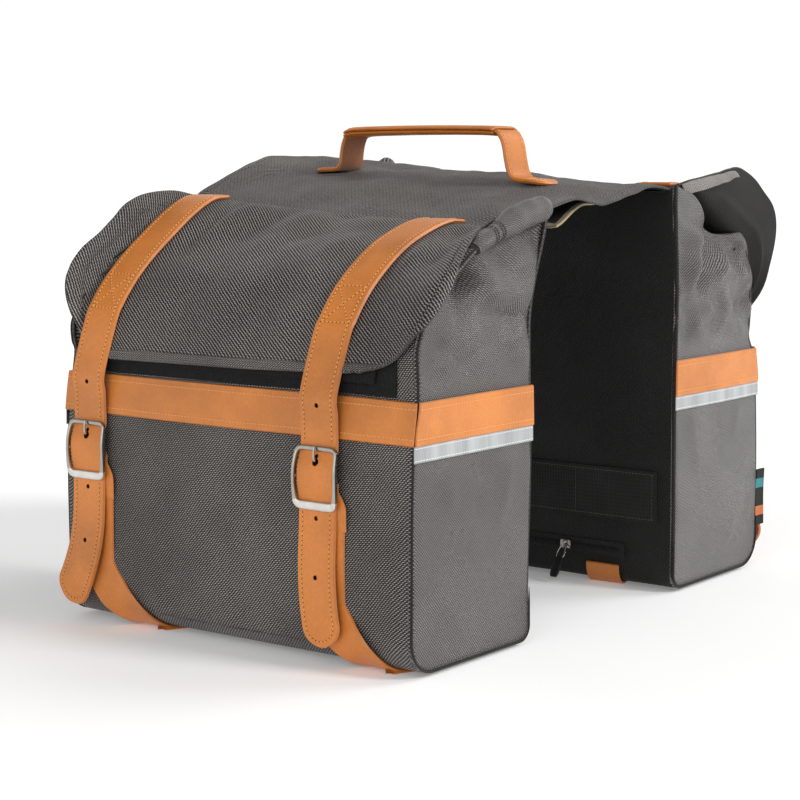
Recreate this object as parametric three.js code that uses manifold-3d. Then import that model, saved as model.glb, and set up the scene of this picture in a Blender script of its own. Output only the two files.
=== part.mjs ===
// A double bicycle pannier: two saddle bags joined by a fabric bridge that lies over the rack.
// Millimetres, +X forward along the bicycle, +Y to its left, +Z up. The origin is on the floor,
// under the middle of the bridge.
import * as THREE from 'three';
import { mergeVertices } from 'three/addons/utils/BufferGeometryUtils.js';
import Module from 'manifold-3d';

const wasm = await Module();
wasm.setup();

// Driving dimensions.
const BAG_LENGTH = 330;
const BAG_DEPTH = 143;
const RIDGE_HEIGHT = 320;
const HALF_GAP = 104;
const FABRIC = 2;
const LEATHER = 1.8;
const STRAP = 3;
const UNDER_STRAP = 2.2;
const CLEAR = 0.35;
const STRAP_WIDTH = 31;
const BASE_STRAP_WIDTH = 30;

// Heights of what is sewn on the bag.
const BAND_BOTTOM = 161;
const BAND_TOP = 189;
const FLAP_BOTTOM = 197;
const BUCKLE_HEIGHT = 134;

// Each strap pair: where the buckle is, how far the free tail drifts sideways, and where the
// base strap crosses the front and the inner edge of the base.
const STRAPS = [
  { buckle: -135, tail: -24, front: -79, inner: -100 },
  { buckle: 88, tail: 8, front: 133, inner: 112 },
];

const BASE_BOTTOM = UNDER_STRAP + CLEAR;
const FRONT_CORNER = 25;
const BACK_CORNER = 12;
const WRAP_HALF = BAG_LENGTH / 2 - FABRIC;

const COLOURS = {
  fabric: [0x4a4644, 0.85, 0],
  lining: [0x2b2a29, 0.9, 0],
  board: [0x3a3a3c, 0.6, 0],
  leather: [0xc6793c, 0.5, 0],
  hookLoop: [0x111111, 1, 0],
  reflective: [0xbfc4c4, 0.35, 0],
  nickel: [0xa9a8a4, 0.2, 1],
  webbing: [0x161616, 0.9, 0],
};

const point = (u, z) => new THREE.Vector2(u, z);

// Lines are drawn in a section across the bag: u runs outwards from its inner face, z upwards.

function smooth(points, steps) {
  return new THREE.SplineCurve(points).getPoints(steps);
}

function arc(centreU, centreZ, radius, fromDegrees, toDegrees, steps) {
  return Array.from({ length: steps + 1 }, (_, i) => {
    const angle = THREE.MathUtils.degToRad(fromDegrees + ((toDegrees - fromDegrees) * i) / steps);
    return point(centreU + radius * Math.cos(angle), centreZ + radius * Math.sin(angle));
  });
}

// The line moved sideways, to the right of its direction.
function offset(line, distance) {
  return line.map((here, i) => {
    const before = line[Math.max(i - 1, 0)];
    const after = line[Math.min(i + 1, line.length - 1)];
    const along = after.clone().sub(before).normalize();
    return point(here.x + along.y * distance, here.y - along.x * distance);
  });
}

// The stretch of a rising line between two heights, with its ends exactly on them.
function between(line, low, high) {
  const cut = (height) => {
    const i = line.findIndex((p, k) => k > 0 && p.y >= height && line[k - 1].y <= height);
    const share = (height - line[i - 1].y) / (line[i].y - line[i - 1].y);
    return line[i - 1].clone().lerp(line[i], share);
  };
  return [cut(low), ...line.filter((p) => p.y > low + 0.5 && p.y < high - 0.5), cut(high)];
}

// A sheet of even thickness along a line, from low to high across it. Each station of the line
// is one ring of four corners, and place puts a corner in the part's frame.
const acrossX = (across, p) => [across, -(HALF_GAP + p.x), p.y];
const acrossY = (across, p) => [p.x, across, p.y];

function sheet(line, thickness, low, high, place = acrossX) {
  const outer = offset(line, thickness / 2);
  const inner = offset(line, -thickness / 2);
  const corners = line.flatMap((_, i) => [
    place(low, outer[i]), place(high, outer[i]), place(high, inner[i]), place(low, inner[i]),
  ]);
  const faces = [3, 2, 1, 3, 1, 0];
  for (let ring = 0; ring < corners.length - 4; ring += 4) {
    for (let side = 0; side < 4; side += 1) {
      const a = ring + side;
      const b = ring + ((side + 1) % 4);
      faces.push(a, b, b + 4, a, b + 4, a + 4);
    }
  }
  faces.push(...[0, 1, 2, 0, 2, 3].map((corner) => corners.length - 4 + corner));
  const geometry = new THREE.BufferGeometry();
  geometry.setAttribute('position', new THREE.Float32BufferAttribute(corners.flat(), 3));
  geometry.setIndex(faces);
  return geometry;
}

function rectangle(low, high) {
  return [point(low[0], low[1]), point(high[0], low[1]), point(high[0], high[1]), point(low[0], high[1])];
}

// A section outline in (u, z), extruded along X.
function prismX(outline, xMin, xMax) {
  const shape = new THREE.Shape(outline.map((p) => point(-(HALF_GAP + p.x), p.y)));
  const geometry = new THREE.ExtrudeGeometry(shape, { depth: xMax - xMin, bevelEnabled: false });
  return geometry.applyMatrix4(new THREE.Matrix4().set(0, 0, 1, xMin, 1, 0, 0, 0, 0, 1, 0, 0, 0, 0, 0, 1));
}

// A face outline in (x, z), extruded along Y.
function prismY(outline, yMin, yMax) {
  const shape = new THREE.Shape(outline);
  const geometry = new THREE.ExtrudeGeometry(shape, { depth: yMax - yMin, bevelEnabled: false });
  return geometry.applyMatrix4(new THREE.Matrix4().set(1, 0, 0, 0, 0, 0, -1, yMax, 0, 1, 0, 0, 0, 0, 0, 1));
}

function solid(geometry) {
  const bare = geometry.clone();
  bare.deleteAttribute('normal');
  bare.deleteAttribute('uv');
  const merged = mergeVertices(bare, 1e-4);
  return new wasm.Manifold(
    new wasm.Mesh({
      numProp: 3,
      vertProperties: new Float32Array(merged.attributes.position.array),
      triVerts: new Uint32Array(merged.index.array),
    }),
  );
}

function geometryOf(body) {
  const mesh = body.getMesh();
  const geometry = new THREE.BufferGeometry();
  geometry.setAttribute('position', new THREE.BufferAttribute(new Float32Array(mesh.vertProperties), 3));
  geometry.setIndex(new THREE.BufferAttribute(new Uint32Array(mesh.triVerts), 1));
  geometry.computeVertexNormals();
  return geometry;
}

const join = (...parts) => geometryOf(parts.map(solid).reduce((whole, part) => whole.add(part)));
const cut = (whole, ...tools) => geometryOf(tools.map(solid).reduce((rest, tool) => rest.subtract(tool), solid(whole)));
const common = (a, b) => geometryOf(solid(a).intersect(solid(b)));

// Moves each vertex along X by an amount that depends on where it is in the section.
function drift(geometry, amount) {
  const position = geometry.attributes.position;
  for (let i = 0; i < position.count; i += 1) {
    const u = -position.getY(i) - HALF_GAP;
    position.setX(i, position.getX(i) + amount(u, position.getZ(i)));
  }
  return geometry;
}

function mesh(name, geometry, [color, roughness, metalness]) {
  const piece = new THREE.Mesh(geometry, new THREE.MeshStandardMaterial({ color, roughness, metalness }));
  piece.name = name;
  return piece;
}

// Middle of the front panel's thickness, from the base round the lower corner and up to the mouth.
const frontU = BAG_DEPTH - FABRIC / 2;
const baseZ = BASE_BOTTOM + FABRIC / 2;
const frontArcRadius = FRONT_CORNER - FABRIC / 2;
const frontCentreU = BAG_DEPTH - FRONT_CORNER;
const frontCentreZ = BASE_BOTTOM + FRONT_CORNER;
const FRONT_LINE = [
  ...arc(frontCentreU, frontCentreZ, frontArcRadius, -90, 0, 6),
  point(frontU, 90),
  ...smooth(
    [
      point(frontU - 1, 140), point(frontU - 3, 165), point(frontU - 6, 186), point(133.5, 201),
      point(128, 217), point(118, 233.5), point(103.5, 249.5), point(85, 265), point(64, 279),
    ],
    14,
  ),
];

// Middle of the flap's thickness, from its lower edge up and back to the hinge line.
const FLAP_LINE = smooth(
  [
    point(140.5, FLAP_BOTTOM), point(138.5, 208), point(132.5, 223), point(122.5, 239), point(107.5, 255.5),
    point(88.5, 271), point(66, 286), point(42, 299.5), point(20, 311), point(4, RIDGE_HEIGHT - 0.5),
  ],
  20,
);

// Middle of the strap's thickness, from the hinge line over the flap and band, through the
// buckle, over its centre bar, and down to the tail's tip.
const STRAP_LINE = [
  ...offset(FLAP_LINE, FABRIC / 2 + CLEAR + STRAP / 2).reverse(),
  point(143.8, 186),
  point(144.7, 168),
  point(144.7, 150),
  point(149, BUCKLE_HEIGHT + 7),
  point(149.6, BUCKLE_HEIGHT),
  point(149, BUCKLE_HEIGHT - 7),
  point(147.3, BUCKLE_HEIGHT - 15),
  ...[107, 94, 82, 70, 58, 46, 34, 24, 15].map((z) => point(147.4 + 0.7 * Math.sin((Math.PI * (107 - z)) / 92), z)),
];

const CENTRE_BAR = { u: 145.8, radius: 1.5 };

function shell(prefix) {
  const rearU = FABRIC / 2;
  const backCentreZ = BASE_BOTTOM + BACK_CORNER;
  const backLine = [
    point(rearU, RIDGE_HEIGHT - 3),
    ...arc(BACK_CORNER, backCentreZ, BACK_CORNER - rearU, 180, 270, 4),
  ];
  const baseLine = [point(BACK_CORNER + CLEAR, baseZ), point(frontCentreU - CLEAR, baseZ)];
  const panel = (line) => sheet(line, FABRIC, -WRAP_HALF + CLEAR, WRAP_HALF - CLEAR);

  const endOutline = [
    ...offset(FRONT_LINE, FABRIC / 2),
    point(52, 286),
    point(30, 300),
    point(0, RIDGE_HEIGHT - 5),
    ...arc(BACK_CORNER, backCentreZ, BACK_CORNER, 180, 270, 4),
  ];
  const boardHalf = WRAP_HALF - 8;
  const boardU = FABRIC + CLEAR;
  const boardZ = BASE_BOTTOM + FABRIC + CLEAR;

  const pieces = [
    mesh(`${prefix}_front_panel`, panel(FRONT_LINE), COLOURS.fabric),
    mesh(`${prefix}_back_panel`, panel(backLine), COLOURS.fabric),
    mesh(`${prefix}_base_panel`, panel(baseLine), COLOURS.fabric),
    mesh(
      `${prefix}_back_board`,
      prismX(rectangle([boardU, 18], [boardU + FABRIC, 288]), -boardHalf, boardHalf),
      COLOURS.board,
    ),
    mesh(
      `${prefix}_base_board`,
      prismX(rectangle([14, boardZ], [frontCentreU - 2, boardZ + 2.5]), -boardHalf, boardHalf),
      COLOURS.board,
    ),
  ];
  [-1, 1].forEach((end, i) => {
    const x = [end * WRAP_HALF, (end * BAG_LENGTH) / 2].sort((a, b) => a - b);
    pieces.push(mesh(`${prefix}_end_panel_${i + 1}`, prismX(endOutline, x[0], x[1]), COLOURS.fabric));
  });
  return pieces;
}

// Leather band round three sides, reflective tape under it on the two ends, and the loop tape
// that the flap closes on.
function trim(prefix) {
  const bandLine = offset(between(FRONT_LINE, BAND_BOTTOM, BAND_TOP), FABRIC / 2 + CLEAR + LEATHER / 2);
  const half = BAG_LENGTH / 2;
  const loopLine = offset(between(FRONT_LINE, BAND_TOP + 3, 222), FABRIC / 2 + CLEAR + 0.5);
  const pieces = [
    mesh(`${prefix}_front_band`, sheet(bandLine, LEATHER, -half, half), COLOURS.leather),
    mesh(`${prefix}_loop_tape`, sheet(loopLine, 1, -147, 147), COLOURS.hookLoop),
  ];
  const bandEdge = [point(1, BAND_BOTTOM), point(139.5, BAND_BOTTOM), point(134.5, BAND_TOP), point(1, BAND_TOP)];
  const tapeEdge = [point(1, 149.5), point(141, 149.5), point(140, 160.5), point(1, 160.5)];
  [-1, 1].forEach((end, i) => {
    const face = end * (half + CLEAR);
    const band = [face, face + end * LEATHER].sort((a, b) => a - b);
    const tape = [face, face + end * 0.8].sort((a, b) => a - b);
    pieces.push(
      mesh(`${prefix}_end_band_${i + 1}`, prismX(bandEdge, band[0], band[1]), COLOURS.leather),
      mesh(`${prefix}_reflector_${i + 1}`, prismX(tapeEdge, tape[0], tape[1]), COLOURS.reflective),
    );
  });
  return pieces;
}

// Zip pocket and webbing band on the inner face, which lies against the rack.
function innerFace(prefix) {
  const zipX = -65;
  const zipZ = 30;
  const tape = prismX(rectangle([-1.35, zipZ - 6], [-CLEAR, zipZ + 6]), -120, 120);
  const band = prismX(rectangle([-1.55, 56], [-CLEAR, 98]), -150, 150);

  const pivotU = -5.6;
  const body = prismX(rectangle([-4.3, zipZ - 3.5], [-1.7, zipZ + 3.5]), zipX - 5, zipX + 5);
  const arch = prismX(
    [point(-4, zipZ - 3.4), point(-4, zipZ + 3.4), point(-6.6, zipZ + 3.2), point(-8, zipZ + 1.6),
      point(-8, zipZ - 1.6), point(-6.6, zipZ - 3.2)],
    zipX - 0.8,
    zipX + 0.8,
  );
  const eye = prismX(rectangle([-7, zipZ - 2], [-4.2, zipZ + 2]), zipX - 2, zipX + 2);

  // The pull is drawn hanging straight down from its top bar, then swung out to rest on the floor.
  const ring = prismY(
    [point(-2.6, 0.6), point(2.6, 0.6), point(4.2, -8), point(2.5, -13), point(-2.5, -13), point(-4.2, -8)],
    -0.65,
    0.65,
  );
  const hollow = prismY(
    [point(-1.8, -0.6), point(1.8, -0.6), point(2.7, -8), point(1.3, -11), point(-1.3, -11), point(-2.7, -8)],
    -2,
    2,
  );
  const tab = prismY([point(-4, -12), point(4, -12), point(4, -30), point(-4, -30)], -1.3, 1.3);
  const pull = mesh(`${prefix}_zip_pull`, join(cut(ring, hollow), tab), COLOURS.nickel);
  pull.position.set(zipX, -(HALF_GAP + pivotU), zipZ);
  pull.rotation.x = THREE.MathUtils.degToRad(34);

  return [
    mesh(`${prefix}_zip_tape`, tape, COLOURS.webbing),
    mesh(`${prefix}_inner_band`, band, COLOURS.webbing),
    mesh(`${prefix}_zip_slider`, join(body, cut(arch, eye)), COLOURS.nickel),
    pull,
  ];
}

function flap(prefix) {
  const half = BAG_LENGTH / 2 + 3.5;
  const corner = 38;
  const low = FLAP_BOTTOM - 5;
  const outline = [
    point(half, RIDGE_HEIGHT + 20),
    point(-half, RIDGE_HEIGHT + 20),
    ...arc(-half + corner, low + corner, corner, 180, 270, 5),
    ...arc(half - corner, low + corner, corner, 270, 360, 5),
  ];
  const cover = sheet(FLAP_LINE, FABRIC, -half, half);
  const hookLine = offset(between(FLAP_LINE, 200, 222), -(FABRIC / 2 + CLEAR + 0.5));
  return [
    mesh(`${prefix}_flap`, common(cover, prismY(outline, -300, -80)), COLOURS.fabric),
    mesh(`${prefix}_hook_tape`, sheet(hookLine, 1, -130, 130), COLOURS.hookLoop),
  ];
}

// Leather strap with a row of punched holes 40 mm apart and a rounded tail. The prong goes
// through a longer slot in the second place.
function flapStrap(name, { buckle, tail }) {
  const half = STRAP_WIDTH / 2;
  const tipRadius = 13;
  const tip = 16;
  const outline = [
    point(half, RIDGE_HEIGHT + 20),
    point(-half, RIDGE_HEIGHT + 20),
    ...arc(-half + tipRadius, tip + tipRadius, tipRadius, 180, 270, 4),
    ...arc(half - tipRadius, tip + tipRadius, tipRadius, 270, 360, 4),
  ];
  const strap = common(sheet(STRAP_LINE, STRAP, -half, half), prismY(outline, -300, -80));
  const holes = [185, 105, 65].map((z) => {
    const hole = new THREE.CylinderGeometry(1.6, 1.6, 30, 8);
    return hole.translate(0, -(HALF_GAP + 146), z);
  });
  const slot = prismY(rectangle([-2.2, BUCKLE_HEIGHT - 4], [2.2, BUCKLE_HEIGHT + 9]), -300, -200);
  const punched = cut(strap, slot, ...holes);
  const bent = drift(punched, (u, z) => (z < 85 ? tail * ((85 - z) / 70) ** 2 : 0));
  return mesh(name, bent.translate(buckle, 0, 0), COLOURS.leather);
}

// Leather strap sewn under the base: from the inner face under the bag and up to the buckle.
function baseStrap(name, { buckle, front, inner }) {
  const gap = CLEAR + UNDER_STRAP / 2;
  const line = [
    point(-gap, 17),
    ...arc(BACK_CORNER, BASE_BOTTOM + BACK_CORNER, BACK_CORNER + gap, 180, 270, 4),
    point(50, UNDER_STRAP / 2),
    point(85, UNDER_STRAP / 2),
    ...arc(frontCentreU, frontCentreZ, FRONT_CORNER + gap, -90, 0, 6),
    ...[40, 52, 64, 76, 88, 100, 112].map((z) => point(BAG_DEPTH + gap, z)),
    point(BAG_DEPTH + gap - 0.6, BUCKLE_HEIGHT - 3.6),
  ];
  const half = BASE_STRAP_WIDTH / 2;
  const strap = sheet(line, UNDER_STRAP, -half, half);
  const path = (u, z) => {
    if (u < frontCentreU && z < 20) {
      return THREE.MathUtils.mapLinear(Math.max(u, 0), 0, frontCentreU, inner, front);
    }
    return front + (buckle - front) * THREE.MathUtils.smoothstep(z, -20, 112);
  };
  return mesh(name, drift(strap, path), COLOURS.leather);
}

// Double-bar buckle: the flap strap goes behind the upper and lower bars and over the centre bar.
function buckleFrame(name, x) {
  const halfInside = 16;
  const halfOutside = 18.8;
  const z = BUCKLE_HEIGHT;
  const rail = [
    point(144.1, z - 6), point(148.6, z - 23), point(151.2, z - 24), point(153.4, z - 13), point(154, z),
    point(153, z + 13), point(150, z + 23.5), point(146.4, z + 23), point(144.1, z + 6),
  ];
  const bar = new THREE.CylinderGeometry(CENTRE_BAR.radius, CENTRE_BAR.radius, 2 * halfInside + 2, 10);
  bar.rotateZ(Math.PI / 2).translate(0, -(HALF_GAP + CENTRE_BAR.u), z);
  const frame = join(
    prismX(rail, -halfOutside, -halfInside),
    prismX(rail, halfInside, halfOutside),
    prismX(rectangle([146.9, z + 17.5], [149.3, z + 22]), -halfInside - 1, halfInside + 1),
    prismX(rectangle([149.2, z - 22.5], [151.6, z - 16]), -halfInside - 1, halfInside + 1),
    bar,
  );
  return mesh(name, frame.translate(x, 0, 0), COLOURS.nickel);
}

// Prong: a ring on the centre bar and an arm that comes out through the slot on to the upper bar.
function bucklePin(name, x) {
  const z = BUCKLE_HEIGHT;
  const half = 1.3;
  const outer = CENTRE_BAR.radius + CLEAR + 1.2;
  const disc = prismX(arc(CENTRE_BAR.u, z, outer, 0, 330, 11), -half, half);
  const bore = prismX(arc(CENTRE_BAR.u, z, CENTRE_BAR.radius + CLEAR, 0, 330, 11), -half - 1, half + 1);
  const armLine = [point(147, z + 2.1), point(150.2, z + 6.5), point(151.7, z + 12), point(151.3, z + 22.5)];
  const arm = sheet(armLine, 2.1, -half + 0.1, half - 0.1);
  return mesh(name, join(cut(disc, bore), cut(arm, bore)).translate(x, 0, 0), COLOURS.nickel);
}

function saddleBag(prefix) {
  const bag = new THREE.Group();
  bag.add(...shell(prefix), ...trim(prefix), ...innerFace(prefix), ...flap(prefix));
  STRAPS.forEach((strap, i) => {
    const n = i + 1;
    bag.add(
      flapStrap(`${prefix}_flap_strap_${n}`, strap),
      baseStrap(`${prefix}_base_strap_${n}`, strap),
      buckleFrame(`${prefix}_buckle_frame_${n}`, strap.buckle),
      bucklePin(`${prefix}_buckle_pin_${n}`, strap.buckle),
    );
  });
  return bag;
}

// Fabric bridge over the rack, its grip pad underneath, and the carrying handle.
const BRIDGE_CROWN = 331;
const HANDLE_TOP = 376;

// Section lines of the bridge are drawn in (y, z), from the right bag to the left.
const fromY = (line) => line.map((p) => point(-p.x - HALF_GAP, p.y));

function bridge() {
  const edge = HALF_GAP - 3;
  const bridgeLine = smooth(
    [point(-edge, RIDGE_HEIGHT), point(-55, BRIDGE_CROWN - 3), point(0, BRIDGE_CROWN),
      point(55, BRIDGE_CROWN - 3), point(edge, RIDGE_HEIGHT)],
    12,
  );
  const padTop = BRIDGE_CROWN - 3 - FABRIC / 2 - 1.5;
  return [
    mesh('bridge_panel', sheet(fromY(bridgeLine), FABRIC, -158, 158), COLOURS.fabric),
    mesh('bridge_pad', prismX(fromY(rectangle([-50, padTop - 2], [50, padTop])), -150, 150), COLOURS.webbing),
  ];
}

function handle() {
  const strapZ = BRIDGE_CROWN + FABRIC / 2 + CLEAR + STRAP / 2;
  const gripZ = HANDLE_TOP - 4.2;
  const rise = [
    point(-113, strapZ), point(-92, strapZ), point(-87, strapZ + 3), point(-84.5, strapZ + 10),
    point(-82.5, strapZ + 24), point(-80, gripZ - 6), point(-76, gripZ - 1.5), point(-69, gripZ),
  ];
  const line = [...rise, ...rise.map((p) => point(-p.x, p.y)).reverse()];
  const half = 14;
  const strap = sheet(line, STRAP, -half, half, acrossY);
  const wrap = 4.2;
  const sleeve = STRAP / 2 + CLEAR;
  const grip = new THREE.BoxGeometry(132, 2 * half + 5, 2 * wrap).translate(0, 0, gripZ);
  const bore = new THREE.BoxGeometry(150, 2 * half + 2 * CLEAR, 2 * sleeve).translate(0, 0, gripZ);
  return [mesh('handle_strap', strap, COLOURS.leather), mesh('handle_grip', cut(grip, bore), COLOURS.leather)];
}

// A plain woven tag, sewn into the outer seam of the left bag.
function sideTag() {
  const seamX = -BAG_LENGTH / 2;
  const tag = prismX(rectangle([BAG_DEPTH + 0.6, 36], [BAG_DEPTH + 10.6, 84]), seamX - 1.4, seamX - 0.2);
  return mesh('left_side_tag', tag, COLOURS.webbing);
}

const pannier = new THREE.Group();
const right = saddleBag('right');
const left = saddleBag('left');
left.add(sideTag());
left.rotation.z = Math.PI;
pannier.add(right, left, ...bridge(), ...handle());

export default pannier;
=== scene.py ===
"""A double bicycle pannier: two flap-top saddle bags of coarse grey fabric with tan leather straps,
joined by a fabric bridge with a leather carrying handle.

Lengths in this script are in millimetres until a mesh is made. Each bag is built in its own
coordinates: x along the bag, u outwards from the inner face, z up. The left bag is the right bag
turned half round, with its own folds.
"""
import math

import bmesh
import bpy
import numpy as np
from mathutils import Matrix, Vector


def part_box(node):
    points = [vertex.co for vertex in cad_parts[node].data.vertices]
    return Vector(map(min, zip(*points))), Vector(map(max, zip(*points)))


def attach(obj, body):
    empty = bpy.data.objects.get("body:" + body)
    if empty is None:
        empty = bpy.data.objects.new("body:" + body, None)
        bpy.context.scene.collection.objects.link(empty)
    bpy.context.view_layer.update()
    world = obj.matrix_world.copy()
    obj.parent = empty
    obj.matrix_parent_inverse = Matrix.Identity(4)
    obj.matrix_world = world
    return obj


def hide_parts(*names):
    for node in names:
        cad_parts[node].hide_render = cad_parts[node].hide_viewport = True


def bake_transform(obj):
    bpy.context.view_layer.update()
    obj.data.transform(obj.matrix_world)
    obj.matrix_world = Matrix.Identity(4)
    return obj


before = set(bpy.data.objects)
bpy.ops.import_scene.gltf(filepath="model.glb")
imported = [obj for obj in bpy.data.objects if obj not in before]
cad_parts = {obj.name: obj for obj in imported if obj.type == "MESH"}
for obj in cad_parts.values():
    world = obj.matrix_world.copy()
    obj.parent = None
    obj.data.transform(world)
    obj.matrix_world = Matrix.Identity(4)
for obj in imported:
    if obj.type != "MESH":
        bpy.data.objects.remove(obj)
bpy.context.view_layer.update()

MM = 0.001
SIDES = ("right", "left")


def node_box(node):
    """Lowest and highest corner of a CAD node, in millimetres."""
    low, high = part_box(node)
    return np.array(low) / MM, np.array(high) / MM


# Sizes that come from the frame.
BACK = node_box("right_back_panel")
FRONT = node_box("right_front_panel")
END = node_box("right_end_panel_2")
BAND = node_box("right_front_band")
HALF_GAP = -BACK[1][1]
DEPTH = -HALF_GAP - FRONT[0][1]
HALF = END[1][0]
BASE_Z = FRONT[0][2] + 1
BAND_LOW = BAND[0][2]

# Thicknesses, and the gap between a piece and the cloth that it lies on.
FABRIC = 2.0
LEATHER = 1.8
STRAP = 3.0
BASE_STRAP = 2.2
TAPE = 0.8
CLEAR = 0.35

# Straps: the buckles' places along the bag, how far each tail hangs to one side, and where each
# base strap crosses the base's front and back edges.
BUCKLES = [sum(b[0] for b in node_box(f"right_buckle_frame_{n}")) / 2 for n in (1, 2)]
TAIL_DRIFT = (-24.0, 8.0)
BASE_CROSSING = ((-79.0, -100.0), (133.0, 112.0))
BUCKLE_Z = 134.0
STRAP_HALF = 15.5
STRAP_TIP = 14.0

# The flap: its hem, and the turn of its end 2 over the end panel. The normals of its grid point
# into the bag.
HEM = 6.5
TURN_X = 163.5
TURN_RADIUS = 8.0
OUT_FLAP = -1

# Stitches: the fine ones in cloth and webbing, and those of leather straps.
FINE = {"pitch": 3.0, "size": 2.2, "radius": 0.3}
COARSE = {"pitch": 3.3, "size": 2.2, "radius": 0.36}

# Sections (u, z) of the panels' middle surfaces.
FRONT_CORNER = 25.0
BACK_CORNER = 12.0
FRONT_UP = [(142, 90), (141, 140), (139, 165), (136.5, 183)]
FLAP_SECTION = [(4, 319.5), (20, 311), (42, 299.5), (66, 286), (88.5, 271), (107.5, 255.5),
                (122.5, 239), (132.5, 223), (138.5, 208), (140.5, 197)]


# ---------------------------------------------------------------- curves and fields

def unit(v):
    return v / np.maximum(np.linalg.norm(v, axis=-1, keepdims=True), 1e-9)


def ramp(x, low, high):
    """Smooth step from 0 at low to 1 at high, in either order."""
    t = np.clip((np.asarray(x, float) - low) / (high - low), 0, 1)
    return t * t * (3 - 2 * t)


def bell(x, centre, width):
    return np.exp(-((np.asarray(x, float) - centre) / width) ** 2)


def curve(points, steps=16):
    """Catmull-Rom curve through the points."""
    p = np.asarray(points, float)
    e = np.vstack([2 * p[0] - p[1], p, 2 * p[-1] - p[-2]])
    t = np.linspace(0, 1, steps, endpoint=False)[:, None]
    out = []
    for i in range(len(p) - 1):
        a, b, c, d = e[i:i + 4]
        out.append(0.5 * (2 * b + (c - a) * t + (2 * a - 5 * b + 4 * c - d) * t ** 2
                          + (3 * b - a - 3 * c + d) * t ** 3))
    return np.vstack(out + [p[-1:]])


def lengths(line):
    """Distance along a line at each of its points."""
    return np.concatenate([[0], np.cumsum(np.linalg.norm(np.diff(line, axis=0), axis=1))])


def sample(field, knots, places):
    """Values at places of a field of vectors that is given at knots."""
    return np.stack([np.interp(places, knots, field[:, k]) for k in range(field.shape[1])], -1)


def at(line, distance):
    return sample(line, lengths(line), distance)


def pair(a, b):
    """Two arrays as one of (a, b), each stretched to the other's shape."""
    return np.stack(np.broadcast_arrays(a, b), -1)


def even(line, count):
    return at(line, np.linspace(0, lengths(line)[-1], count))


def arc(centre, radius, start, end, steps):
    angles = np.radians(np.linspace(start, end, steps + 1))
    return np.array(centre) + radius * np.stack([np.cos(angles), np.sin(angles)], -1)


def sideways(line):
    """Unit vectors to the right of the line's direction, in its plane."""
    d = unit(np.gradient(line, axis=0))
    return np.stack([d[:, 1], -d[:, 0]], -1)


def waves(seed, wavelength, count=10):
    """A smooth random field of about unit size, from a fixed seed."""
    rng = np.random.default_rng(seed)
    k = unit(rng.normal(size=(count, 3))) * 2 * math.pi
    k /= wavelength * rng.uniform(0.7, 1.5, (count, 1))
    phase = rng.uniform(0, 2 * math.pi, count)
    size = rng.uniform(0.5, 1, count)
    size /= math.sqrt((size ** 2).sum() / 2)
    return lambda p: np.sin(np.asarray(p) @ k.T + phase) @ size


def fold(a, b, from_a, from_b, to_a, to_b, width, height):
    """Height of a fold between two points of the plane (a, b), tapered at both ends."""
    start = np.array([from_a, from_b], float)
    d = np.array([to_a, to_b], float) - start
    long = np.linalg.norm(d)
    d /= long
    along = ((a - start[0]) * d[0] + (b - start[1]) * d[1]) / long
    across = (a - start[0]) * -d[1] + (b - start[1]) * d[0]
    taper = ramp(along, -0.15, 0.3) * ramp(along, 1.15, 0.7)
    return height * taper * np.exp(-np.abs(across / width) ** 1.6)


def folds(a, b, table):
    return sum(fold(a, b, *row) for row in table)


def columns(half, step, edges=(0.0, 0.35, 0.9, 1.8, 3.2, 5.0)):
    """Positions from -half to half, closer together at the two edges."""
    inner = half - edges[-1]
    count = max(int(round(2 * inner / step)), 1)
    middle = np.linspace(-inner, inner, count + 1)
    near = half - np.array(edges[:-1])
    return np.concatenate([-near, middle, near[::-1]])


# ---------------------------------------------------------------- meshes

def to_world(side, p):
    """Bag coordinates of one side to the frame's, in metres. Side None is the frame's own."""
    p = np.asarray(p, float)
    if side is None:
        return p * MM
    sign = 1 if side == "right" else -1
    return np.stack([sign * p[..., 0], -sign * (HALF_GAP + p[..., 1]), p[..., 2]], -1) * MM


def linked(name, data):
    obj = bpy.data.objects.new(name, data)
    bpy.context.scene.collection.objects.link(obj)
    return obj


def make(name, side, verts, faces, materials, face_material=None, uv=None, sharp=38):
    """A piece from vertices in a bag's coordinates. Edges above the angle sharp stay sharp."""
    mesh = bpy.data.meshes.new(name)
    mesh.from_pydata(to_world(side, verts).tolist(), [], [list(map(int, f)) for f in faces])
    if uv is not None:
        layer = mesh.uv_layers.new(name="weave")
        index = np.zeros(len(mesh.loops), int)
        mesh.loops.foreach_get("vertex_index", index)
        layer.data.foreach_set("uv", (np.asarray(uv, float)[index] * MM).astype(np.float32).ravel())
    for m in materials:
        mesh.materials.append(m)
    if face_material is not None:
        mesh.polygons.foreach_set("material_index", np.asarray(face_material, np.int32))
    bm = bmesh.new()
    bm.from_mesh(mesh)
    bmesh.ops.recalc_face_normals(bm, faces=bm.faces)
    bm.to_mesh(mesh)
    bm.free()
    mesh.polygons.foreach_set("use_smooth", np.ones(len(mesh.polygons), bool))
    mesh.set_sharp_from_angle(angle=math.radians(sharp))
    mesh.update()
    return linked(name, mesh)


def grid_faces(n, m):
    i, j = np.meshgrid(np.arange(n - 1), np.arange(m - 1), indexing="ij")
    a = (i * m + j).ravel()
    return np.stack([a, a + m, a + m + 1, a + 1], -1)


def grid_normals(grid):
    return unit(np.cross(np.gradient(grid, axis=0), np.gradient(grid, axis=1)))


def border(n, m):
    """Indices of a grid's border, once round."""
    return np.concatenate([
        np.arange(m), np.arange(1, n) * m + m - 1,
        (n - 1) * m + np.arange(m - 2, -1, -1), np.arange(n - 2, 0, -1) * m,
    ])


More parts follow.
